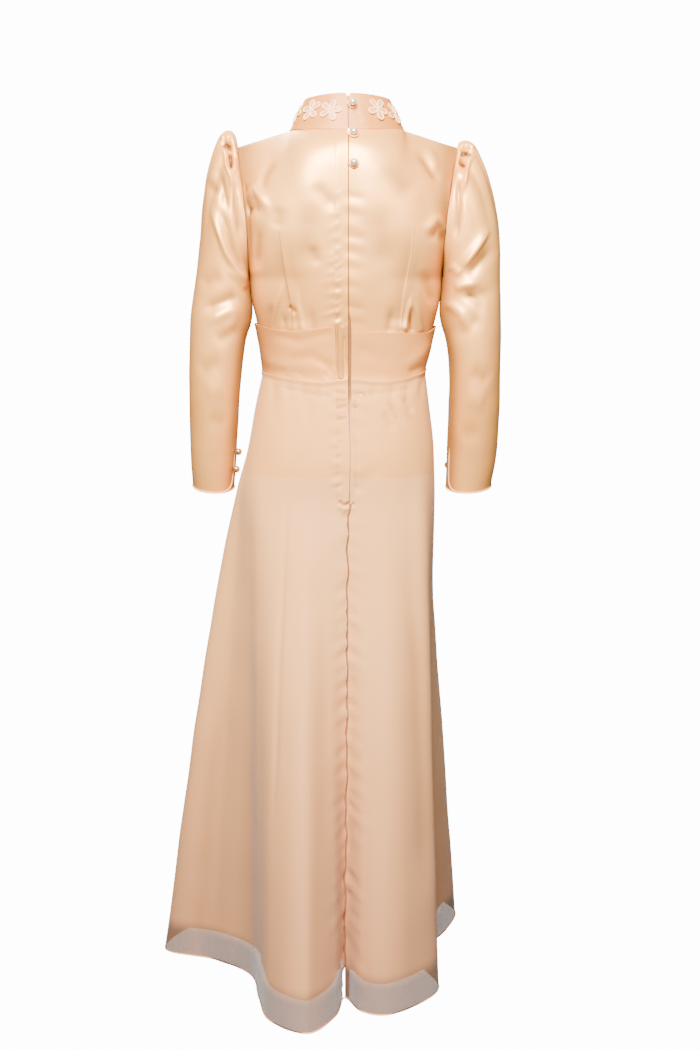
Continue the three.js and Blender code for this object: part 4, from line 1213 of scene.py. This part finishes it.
def collar_underlap():
    """The end of the right half of the collar, which shows in the gap between its two ends. Its dark brown is
    painted shade in that gap.
    """

    def point(degrees, v):
        spot = collar_point(degrees, 0.02 + 0.9 * v)
        return spot - Vector((0, CLOTH["collar"] + 1.4, 0))

    piece = cloth("collar_underlap", point, (-5, 4), (0, 1), Cut(8, 12, 13, 50), 1.0, True)
    dress(piece, SEAM_AND_SHADE_CLOTH, "satin")


# ---------------- waistband
LAP_CREASES = creases(
    ([(17.5, -322), (17.5, -424)], -1.6, 2.0, 0, 0),
    ([(8, -328), (10, -360), (11, -424)], 1.6, 3.2, 0, 0, 0.5),
    ([(4, -340), (5, -372), (3, -420)], -1.4, 2.4, 0.1, 0),
    ([(1.6, -376), (1.2, -421)], -5.0, 1.4, 0.3, 0),
)
LAP_EDGE = 18

# Each part's name, node and carrier, the degrees between which it lies, its columns of cells and its width.
BANDS = [
    ("band_back_left", "waistband_back_left", "satin_back_left", 5.5, 90, 110, 235),
    ("band_front", "waistband_front", "satin_front", 90.1, 269.9, 180, 480),
    ("band_back_right", "waistband_back_right", "satin_back_right", 270, 357.8, 110, 238),
]


def band_piece(name, node, carrier, start, end, columns, width):
    def shape(bm, u_layer, v_layer):
        # Painted shade towards the band's far left and far right.
        def depth(vert):
            left = SHADES["band_left"] * smooth_step(70, 142, vert.co.x)
            return left + SHADES["band_right"] * smooth_step(-105, -138, vert.co.x)

        press(bm, BAND_CREASES, 1)
        ripple(bm, *RIPPLES["band"])
        shade(bm, depth)

    cut = Cut(columns, 28, width, 95)
    piece = cloth(name, band_point, (start, end), (0, 1), cut, CLOTH["band"], True, shape=shape)
    dress(piece, BAND_CLOTH, "waistband", node)


def placket():
    outward = LAP_RAISED + SEAM + 0.7

    def point(u, v):
        return back_point(1, u, v) + Vector((0, outward, 0))

    def shape(bm, u_layer, v_layer):
        press(bm, LAP_CREASES, 1)
        # Painted shade over the lap strip, darkest along LAP_EDGE.
        shade(bm, lambda vert: SHADES["lap"] + SHADES["lap_edge"] * bell(vert.co.x - LAP_EDGE, 3.5))

    across = (0, LAP_SHARE + 0.012)
    up = (0.01, BAND_SHARE + 0.002)
    piece = cloth("placket_strip", point, across, up, Cut(20, 64, 20, 100), 1.0, True, shape=shape)
    dress(piece, SATIN, "waistband", "waistband_placket")


TAPE_THICKNESS = 0.8
ALLOWANCE_INSIDE = 4.6


def behind_slot(z):
    """How far back the zip lies under the slot."""
    return centre_back(z) - CLOTH["satin"] - lerp(2.2, 3.6, smooth_step(-400, -450, z))


def seam_allowance():
    """The turned-in edges of the skirt's centre back seam, which show where the seam gapes. Their dark brown
    is partly painted shade in that gap.
    """

    def point(x, z):
        narrow = lerp(0.3, 1, smooth_step(HEM_Z + 46, HEM_Z + 70, z))
        return Vector((x * narrow, centre_back(z) - ALLOWANCE_INSIDE, z))

    up = (HEM_Z + 0.5, ZIP_END_Z + 2)
    piece = cloth("seam_allowance", point, (-14, 12), up, Cut(6, 120, 26, 815), TAPE_THICKNESS, True)
    dress(piece, SEAM_AND_SHADE_CLOTH, "sheer")


def zip_tape():
    def point(x, z):
        return Vector((x, behind_slot(z), z))

    up = (ZIP_END_Z - 8, ZIP_TOP_Z + 6)
    piece = cloth("zip_cloth", point, (-17, 9), up, Cut(8, 130, 26, 560), TAPE_THICKNESS, True)
    dress(piece, TAPE, "zip_tape", "zip_tape")


# ---------------- skirt
Gore = namedtuple("Gore", "name node start end columns rows width flat_width area")
SHEER_GORES = [
    Gore("sheer_back_left", "back_left", 0, LEFT_SEAM, 134, 204, 560, 0.66, 0.46),
    Gore("sheer_front", "front", LEFT_SEAM, RIGHT_SEAM, 110, 110, 800, 1.05, 0.75),
    Gore("sheer_back_right", "back_right", RIGHT_SEAM, SKIRT_COUNT, 112, 204, 420, 0.46, 0.33),
]
LINING_GORES = [
    Gore("lining_left", "back_left", 0.03, LEFT_SEAM, 60, 80, 560, 0.62, 0.42),
    Gore("lining_fore", "front", LEFT_SEAM, RIGHT_SEAM, 80, 70, 800, 1.0, 0.7),
    Gore("lining_right", "back_right", RIGHT_SEAM, SKIRT_COUNT - 0.03, 60, 80, 420, 0.44, 0.3),
]
# How far the upper edge stands off the waistband, and how deep the seam lies below the zip.
SEAM_PROUD = 3.0
SEAM_SUNK = 1.8
# How far the lining's edges keep off the zip, and how far in it hangs at the waist and below.
LINING_CLEAR = 13
LINING_INSIDE = (1, 7)
GORE_LENGTH = {"sheer": 1030, "lining": 980}
# The first share of a sheer panel's rows is drawn together over this share of its length.
CLOSE_ROWS = 0.45
CLOSE_LENGTH = 0.2115


def row_share(t):
    """Rows of a sheer panel stand closer together beside the zip than below it."""
    if t < CLOSE_ROWS:
        return t * CLOSE_LENGTH / CLOSE_ROWS
    return lerp(CLOSE_LENGTH, 1, (t - CLOSE_ROWS) / (1 - CLOSE_ROWS))


def sheer_panel(gore):
    def shape(bm, u_layer, v_layer):
        def free(vert):
            return smooth_step(0, 0.02, row_share(vert[v_layer]))

        def edges(vert):
            v = row_share(vert[v_layer])
            away = off_centre(vert[u_layer]) * lerp(16, 36, v)
            sunk = SEAM_SUNK * smooth_step(ZIP_END_Z + 10, ZIP_END_Z - 20, vert.co.z)
            return SEAM_PROUD * smooth_step(0.007, 0, v) - sunk * bell(away, 3.0)

        press(bm, SKIRT_CREASES, 1, free)
        ripple(bm, *RIPPLES["sheer"], free)
        swell(bm, edges)

    def point(u, t):
        return skirt_cloth(u, row_share(t))

    across = (gore.start, gore.end)
    cut = Cut(gore.columns, gore.rows, gore.width, GORE_LENGTH["sheer"])
    piece = cloth(gore.name, point, across, (0, 1), cut, CLOTH["sheer"], shape=shape, soften=2)
    dress(piece, SHEER, "sheer", "skirt_" + gore.node)
    "band_" + gore.node
    return piece


def lining_panel(gore):
    end_v = 1 - LINING_SHORTER / (WAIST["side"] - HEM_Z)

    def shape(bm, u_layer, v_layer):
        def inwards(vert):
            return -CLOTH["sheer"] - lerp(*LINING_INSIDE, smooth_step(0, 0.06, vert[v_layer]))

        swell(bm, inwards)

    def point(u, v):
        """The lining's centre back edges keep clear of the zip and meet under it."""
        spot = skirt_point(u, v)
        clear = LINING_CLEAR * smooth_step(ZIP_END_Z - 40, ZIP_END_Z, spot.z)
        spot.x += half_of(u) * clear * smooth_step(1.2, 0, off_centre(u))
        return spot

    cut = Cut(gore.columns, gore.rows, gore.width, GORE_LENGTH["lining"])
    piece = cloth(gore.name, point, (gore.start, gore.end), (0, end_v), cut, CLOTH["lining"], shape=shape)
    dress(piece, LINING, "lining", "lining_" + gore.node)
    "band_" + gore.node


HEM_STEPS = 460
HEM_SHARE = 0.9995


def hem_roll():
    path = []
    for step in range(HEM_STEPS):
        u = SKIRT_COUNT * step / HEM_STEPS
        place = skirt_point(u, HEM_SHARE)
        along = skirt_point(u + 0.02, HEM_SHARE) - place
        outward = along.cross(Vector((0, 0, -1))).normalized()
        path.append((place - outward * (CLOTH["sheer"] / 2), outward))
    bm = bmesh.new()
    tube_along(bm, path, HEM_ROLL_RADIUS, 8, True)
    dress(finish_mesh("hem_roll", bm), EDGING, "sheer")


# ---------------- pearls, loops, zip and stitches
# A y that lies behind the whole gown, and the way from there to it.
BEHIND = 400
INWARD = Vector((0, -1, 0))


def seat_on(piece, start, towards):
    """Where a ray meets a piece, and the way the cloth faces there."""
    found, place, outward, _ = piece.ray_cast(start * MM, towards.normalized())
    if not found:
        raise ValueError(f"nothing of {piece.name} at {start}")
    return place / MM, outward


def button(name, node, place, outward, height, coat):
    bm = bmesh.new()
    centre = place + outward * (height + PEARL["radius"])
    placed = Matrix.Translation(centre)
    bmesh.ops.create_uvsphere(bm, u_segments=32, v_segments=20, radius=PEARL["radius"], matrix=placed)
    dress(finish_mesh(name, bm), coat, "pearl", node)


LOOP = {"above": 0.7, "drop": 0.9, "steps": 40, "tail": 6.0, "top_tail": 4.0, "tail_from": 5.6}
TAIL = {"apart": 2.3, "steps": 4, "closing": 1 / 9, "share": 0.75}


def ring_of_cord(name, node, place, outward, tail):
    """A cord round a pearl's foot. tail runs on to the edge that it is sewn to."""
    sideways = Vector((1, 0, 0))
    sideways = (sideways - outward * sideways.dot(outward)).normalized()
    up = sideways.cross(outward)
    if up.z < 0:
        up = -up
    low = place + outward * (PEARL["cord"] + LOOP["above"]) - up * LOOP["drop"]
    path = []
    for step in range(LOOP["steps"]):
        angle = 2 * math.pi * step / LOOP["steps"]
        spot = low + (sideways * math.cos(angle) + up * math.sin(angle)) * PEARL["rim"]
        path.append((spot, outward))
    bm = bmesh.new()
    tube_along(bm, path, PEARL["cord"], 10, True)
    for rise in (TAIL["apart"], -TAIL["apart"]):
        path = []
        for step in range(TAIL["steps"] + 1):
            run = sideways * (LOOP["tail_from"] + tail * step / TAIL["steps"])
            path.append((low + run + up * rise * (1 - step * TAIL["closing"]), outward))
        tube_along(bm, path, PEARL["cord"] * TAIL["share"], 8)
    dress(finish_mesh(name, bm), EDGING, "satin", node)


def back_buttons(collar_piece, back_right):
    for i, (x, z) in enumerate(BACK_BUTTONS, 1):
        carrier = collar_piece if z > 0 else back_right
        place, outward = seat_on(carrier, Vector((x, BEHIND, z)), INWARD)
        button(f"pearl_back_{i}", f"back_button_{i}", place, outward, PEARL["above_cloth"], PEARL_COAT)
        tail = LOOP["tail"] if i > 1 else LOOP["top_tail"]
        ring_of_cord(f"loop_back_{i}", f"back_loop_{i}", place, outward, tail)


def cuff_buttons(piece, word):
    x, y, from_x, from_y = CUFF_BUTTON_AT[word]
    for i, z in enumerate(CUFF_BUTTON_Z, 1):
        place, outward = seat_on(piece, Vector((from_x, from_y, z)), Vector((x - from_x, y - from_y, 0)))
        button(f"pearl_cuff_{word}_{i}", f"cuff_button_{word}_{i}", place, outward, PEARL["above_cuff"], GILT_AND_SHADE)


def stitch(bm, start, end, outward, width):
    """One stitch: a short thread that dips into the cloth at both ends."""
    along = (end - start).normalized()
    side = along.cross(outward).normalized()
    matrix = Matrix((side, along, outward)).transposed().to_4x4()
    matrix.translation = start.lerp(end, 0.5)
    size = Matrix.Diagonal((width, (end - start).length, width * 0.7, 1))
    bmesh.ops.create_icosphere(bm, subdivisions=1, radius=0.5, matrix=matrix @ size)


STITCHES = {"top_x": 15, "end_x": 17, "run": -520, "length": 2.4, "step": 3.4, "width": 0.9}


def lap_stitches(name, carrier, high, low, slot):
    """The row that holds the lap down, left of the centre back."""
    bm = bmesh.new()
    while high > low:
        x = lerp(STITCHES["top_x"], STITCHES["end_x"], (high - LAP_STITCHED[0]) / STITCHES["run"])
        start, outward = seat_on(carrier, Vector((x, BEHIND, high)), INWARD)
        end, _ = seat_on(carrier, Vector((x, BEHIND, high - STITCHES["length"])), INWARD)
        stitch(bm, start, end, outward, STITCHES["width"])
        high -= STITCHES["step"]
    dress(finish_mesh(name, bm), THREAD, slot)


def spots_along(path, steps):
    """Pairs of values at even steps along each run of a path."""
    for (a, b), (next_a, next_b) in zip(path, path[1:]):
        for step in range(steps):
            yield lerp(a, next_a, step / steps), lerp(b, next_b, step / steps)


DART_LINE = {"steps": 8, "sunk": 0.1, "radius": 0.5}


def dart_lines(darts):
    """The sewn line of each back dart, a thin dark cord whose colour is painted shade along the dart's fold.
    """
    bm = bmesh.new()
    for dart, carrier in darts:
        path = []
        for x, z in spots_along(dart, DART_LINE["steps"]):
            place, outward = seat_on(carrier, Vector((x, BEHIND, z)), INWARD)
            path.append((place - outward * DART_LINE["sunk"], outward))
        tube_along(bm, path, DART_LINE["radius"], 6)
    dress(finish_mesh("dart_lines", bm), SEAM_AND_SHADE_CLOTH, "satin")


# A cuff's slit: degrees round the sleeve and rings down it, from the hem of the cuff up.
CUFF_SLIT = [(127, 13.0), (138, 12.94), (147, 12.84), (153, 12.68), (156, 12.45), (157, 12.1), (158, 11.7)]
# The piping comes out of the cloth between these rings, from so far under it to so far above it.
SLIT = {"steps": 6, "end": 11.7, "out": 12.1, "under": -1.4, "above": 0.2, "radius": 1.2}


def cuff_slit(side):
    """The piped edge of the opening, which leaves the hem of the cuff in a round corner."""
    path = []
    for turn, s in spots_along(CUFF_SLIT, SLIT["steps"]):
        edge, outward = sleeve_spot(side, turn, s)
        rise = lerp(SLIT["under"], SLIT["above"], smooth_step(SLIT["end"], SLIT["out"], s))
        path.append((edge + outward * rise, outward))
    bm = bmesh.new()
    tube_along(bm, path, SLIT["radius"], 8)
    dress(finish_mesh(f"slit_{'left' if side > 0 else 'right'}", bm), EDGING, "satin")


TOOTH = {"left_x": -3.4, "right_x": -4.4, "proud": 0.3, "size": (2.4, 0.9, 1.0, 1), "step": 1.5}


def zip_teeth():
    """A coil's teeth, left and right in turn, up the middle of the tape."""
    bm = bmesh.new()
    z = ZIP_END_Z + 4.0
    left = True
    while z < ZIP_TOP_Z:
        place = Vector((TOOTH["left_x" if left else "right_x"], behind_slot(z) + TOOTH["proud"], z))
        matrix = Matrix.Translation(place) @ Matrix.Diagonal(TOOTH["size"])
        bmesh.ops.create_icosphere(bm, subdivisions=1, radius=0.5, matrix=matrix)
        left = not left
        z += TOOTH["step"]
    dress(finish_mesh("zip_teeth", bm), COIL, "zip_tape")


# ---------------- flowers
FLOWER = {"radius": 18.8, "above": 0.5, "puff": 1.2, "cord": 1.1, "petals": 5, "heart": 1.9}
# How far the cord and the heart stand above the collar, and the steps round a petal's cord.
CORD_RISE = FLOWER["above"] + 1.3
HEART_RISE = FLOWER["above"] + 2.0
CORD_STEPS = 30
# The shares between which a petal's length and width vary, and how many degrees it swings.
PETAL_LENGTHS = (0.84, 0.98)
PETAL_WIDTHS = (0.31, 0.38)
PETAL_SWING = 8


def on_collar(degrees, v, across, up, height):
    here = collar_point(degrees, v)
    per_degree = (collar_point(degrees + 1, v) - here).length
    per_share = (collar_point(degrees, 1) - collar_point(degrees, 0)).length
    u = degrees + across / per_degree
    w = v + up / per_share
    along_u = collar_point(u + 0.1, w) - collar_point(u - 0.1, w)
    along_v = collar_point(u, w + 0.01) - collar_point(u, w - 0.01)
    outward = along_v.cross(along_u).normalized()
    return collar_point(u, w) + outward * height, outward


def petal_outline(length, width, angle, t):
    """A petal's edge, with t from 0 to 1 round it from the heart."""
    along = length * (0.5 - 0.5 * math.cos(2 * math.pi * t))
    side = width * math.sin(2 * math.pi * t) * (0.3 + 0.7 * along / length)
    s, c = sine_cosine(angle)
    return along * s + side * c, along * c - side * s


def flower(number, degrees, v):
    bm = bmesh.new()
    apart = 360 / FLOWER["petals"]
    first = chance.uniform(0, apart)
    petals = []
    for k in range(FLOWER["petals"]):
        length = FLOWER["radius"] * chance.uniform(*PETAL_LENGTHS)
        angle = first + apart * k + chance.uniform(-PETAL_SWING, PETAL_SWING)
        petals.append((angle, length, length * chance.uniform(*PETAL_WIDTHS)))
    for angle, length, width in petals:
        fill_petal(bm, degrees, v, angle, length, width)
    cord_from = len(bm.faces)
    for angle, length, width in petals:
        edge = [petal_outline(length, width, angle, step / CORD_STEPS) for step in range(CORD_STEPS)]
        path = [on_collar(degrees, v, *spot, CORD_RISE) for spot in edge]
        tube_along(bm, path, FLOWER["cord"], 6, True)
    heart, _ = on_collar(degrees, v, 0, 0, HEART_RISE)
    placed = Matrix.Translation(heart)
    bmesh.ops.create_icosphere(bm, subdivisions=2, radius=FLOWER["heart"], matrix=placed)
    bm.faces.ensure_lookup_table()
    for face in bm.faces[cord_from:]:
        face.material_index = 1
    piece = finish_mesh(f"flower_{number}", bm)
    piece.data.materials.append(PETAL)
    piece.data.materials.append(CORD)
    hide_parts(f"collar_flower_{number}")


def fill_petal(bm, degrees, v, angle, length, width):
    """The padded satin inside a petal's cord."""
    middle = petal_outline(length, 0, angle, 0.33)
    made = bmesh.ops.create_uvsphere(bm, u_segments=20, v_segments=8, radius=1.0)
    for vert in made["verts"]:
        x, y, z = vert.co
        edge = petal_outline(length, width, angle, math.atan2(y, x) / (2 * math.pi) + 0.5)
        reach = math.hypot(x, y)
        height = FLOWER["above"] + FLOWER["puff"] * (0.5 + 0.5 * z)
        spot = lerp(middle[0], edge[0], reach), lerp(middle[1], edge[1], reach)
        vert.co = on_collar(degrees, v, *spot, height)[0]


# ---------------- the whole gown
def gown():
    stand = collar()
    back_left = bodice_back(1, "satin_back_left", "bodice_back_left")
    back_right = bodice_back(-1, "satin_back_right", "bodice_back_right")
    bodice_front()
    sleeve_left = sleeve(1, "satin_sleeve_left", "sleeve_left")
    sleeve_right = sleeve(-1, "satin_sleeve_right", "sleeve_right")
    cuff_piping(1, "piping_left", "cuff_piping_left")
    cuff_piping(-1, "piping_right", "cuff_piping_right")
    for band in BANDS:
        band_piece(*band)
    placket()
    collar_underlap()
    zip_tape()
    seam_allowance()
    sheers = [sheer_panel(gore) for gore in SHEER_GORES]
    for gore in LINING_GORES:
        lining_panel(gore)
    hem_roll()
    bpy.context.view_layer.update()
    back_buttons(stand, back_right)
    cuff_buttons(sleeve_left, "left")
    cuff_buttons(sleeve_right, "right")
    lap_stitches("lap_stitches", back_left, *LAP_STITCHED, "satin")
    lap_stitches("skirt_stitches", sheers[0], *SKIRT_STITCHED, "sheer")
    dart_lines([(LEFT_DART, back_left), (RIGHT_DART, back_right)])
    cuff_slit(1)
    cuff_slit(-1)
    zip_teeth()
    for number, (degrees, v) in enumerate(zip(FLOWER_ANGLES, FLOWER_HEIGHTS), 1):
        flower(number, degrees, v)


# ---------------- room
WARM = (1.0, 0.9, 0.8)
# Each lamp's name, place, aim, size in metres and power in watts.
LAMPS = [
    ("key", (0.25, 1.9, 1.3), (0, 0, -0.1), 1.0, 455),
    ("fill", (-1.2, 2.2, 0.3), (0, 0, -0.5), 1.2, 30),
    ("front", (0.5, -2.4, 1.2), (0, 0, -0.5), 1.6, 230),
]
BACKDROP = {"seen": 14.0, "dim": 0.2, "cast": (1, 0.86, 0.7, 1), "white": (1, 1, 1, 1)}
CAMERA = {"lens": 59.66, "sensor": 36, "place": (-0.005, 3.0, -0.276), "tilt": 82.5}


def soft_light(name, place, aim, size, power):
    light = bpy.data.lights.new(name, "AREA")
    light.shape = "SQUARE"
    light.size = size
    light.energy = power
    light.color = WARM
    lamp = bpy.data.objects.new(name, light)
    lamp.location = place
    lamp.rotation_euler = (Vector(aim) - Vector(place)).to_track_quat("-Z", "Y").to_euler()
    bpy.context.scene.collection.objects.link(lamp)


def white_surround():
    """A room that is bright white to look at and gives the gown a dim light."""
    world = bpy.data.worlds.new("studio")
    world.use_nodes = True
    base = Shade(world.node_tree)
    seen = base.add("LightPath", {}, {})
    backdrop = world.node_tree.nodes["Background"]
    colour = seen.mix(BACKDROP["cast"], BACKDROP["white"])
    strength = seen * BACKDROP["seen"] + BACKDROP["dim"]
    world.node_tree.links.new(colour.socket, backdrop.inputs["Color"])
    world.node_tree.links.new(strength.socket, backdrop.inputs["Strength"])
    bpy.context.scene.world = world


def lights():
    white_surround()
    for lamp in LAMPS:
        soft_light(*lamp)


def camera():
    lens = bpy.data.cameras.new("camera")
    lens.lens = CAMERA["lens"]
    lens.sensor_width = CAMERA["sensor"]
    eye = bpy.data.objects.new("camera", lens)
    eye.location = CAMERA["place"]
    eye.rotation_euler = (math.radians(CAMERA["tilt"]), 0, math.pi)
    bpy.context.scene.collection.objects.link(eye)
    bpy.context.scene.camera = eye


gown()
lights()
camera()
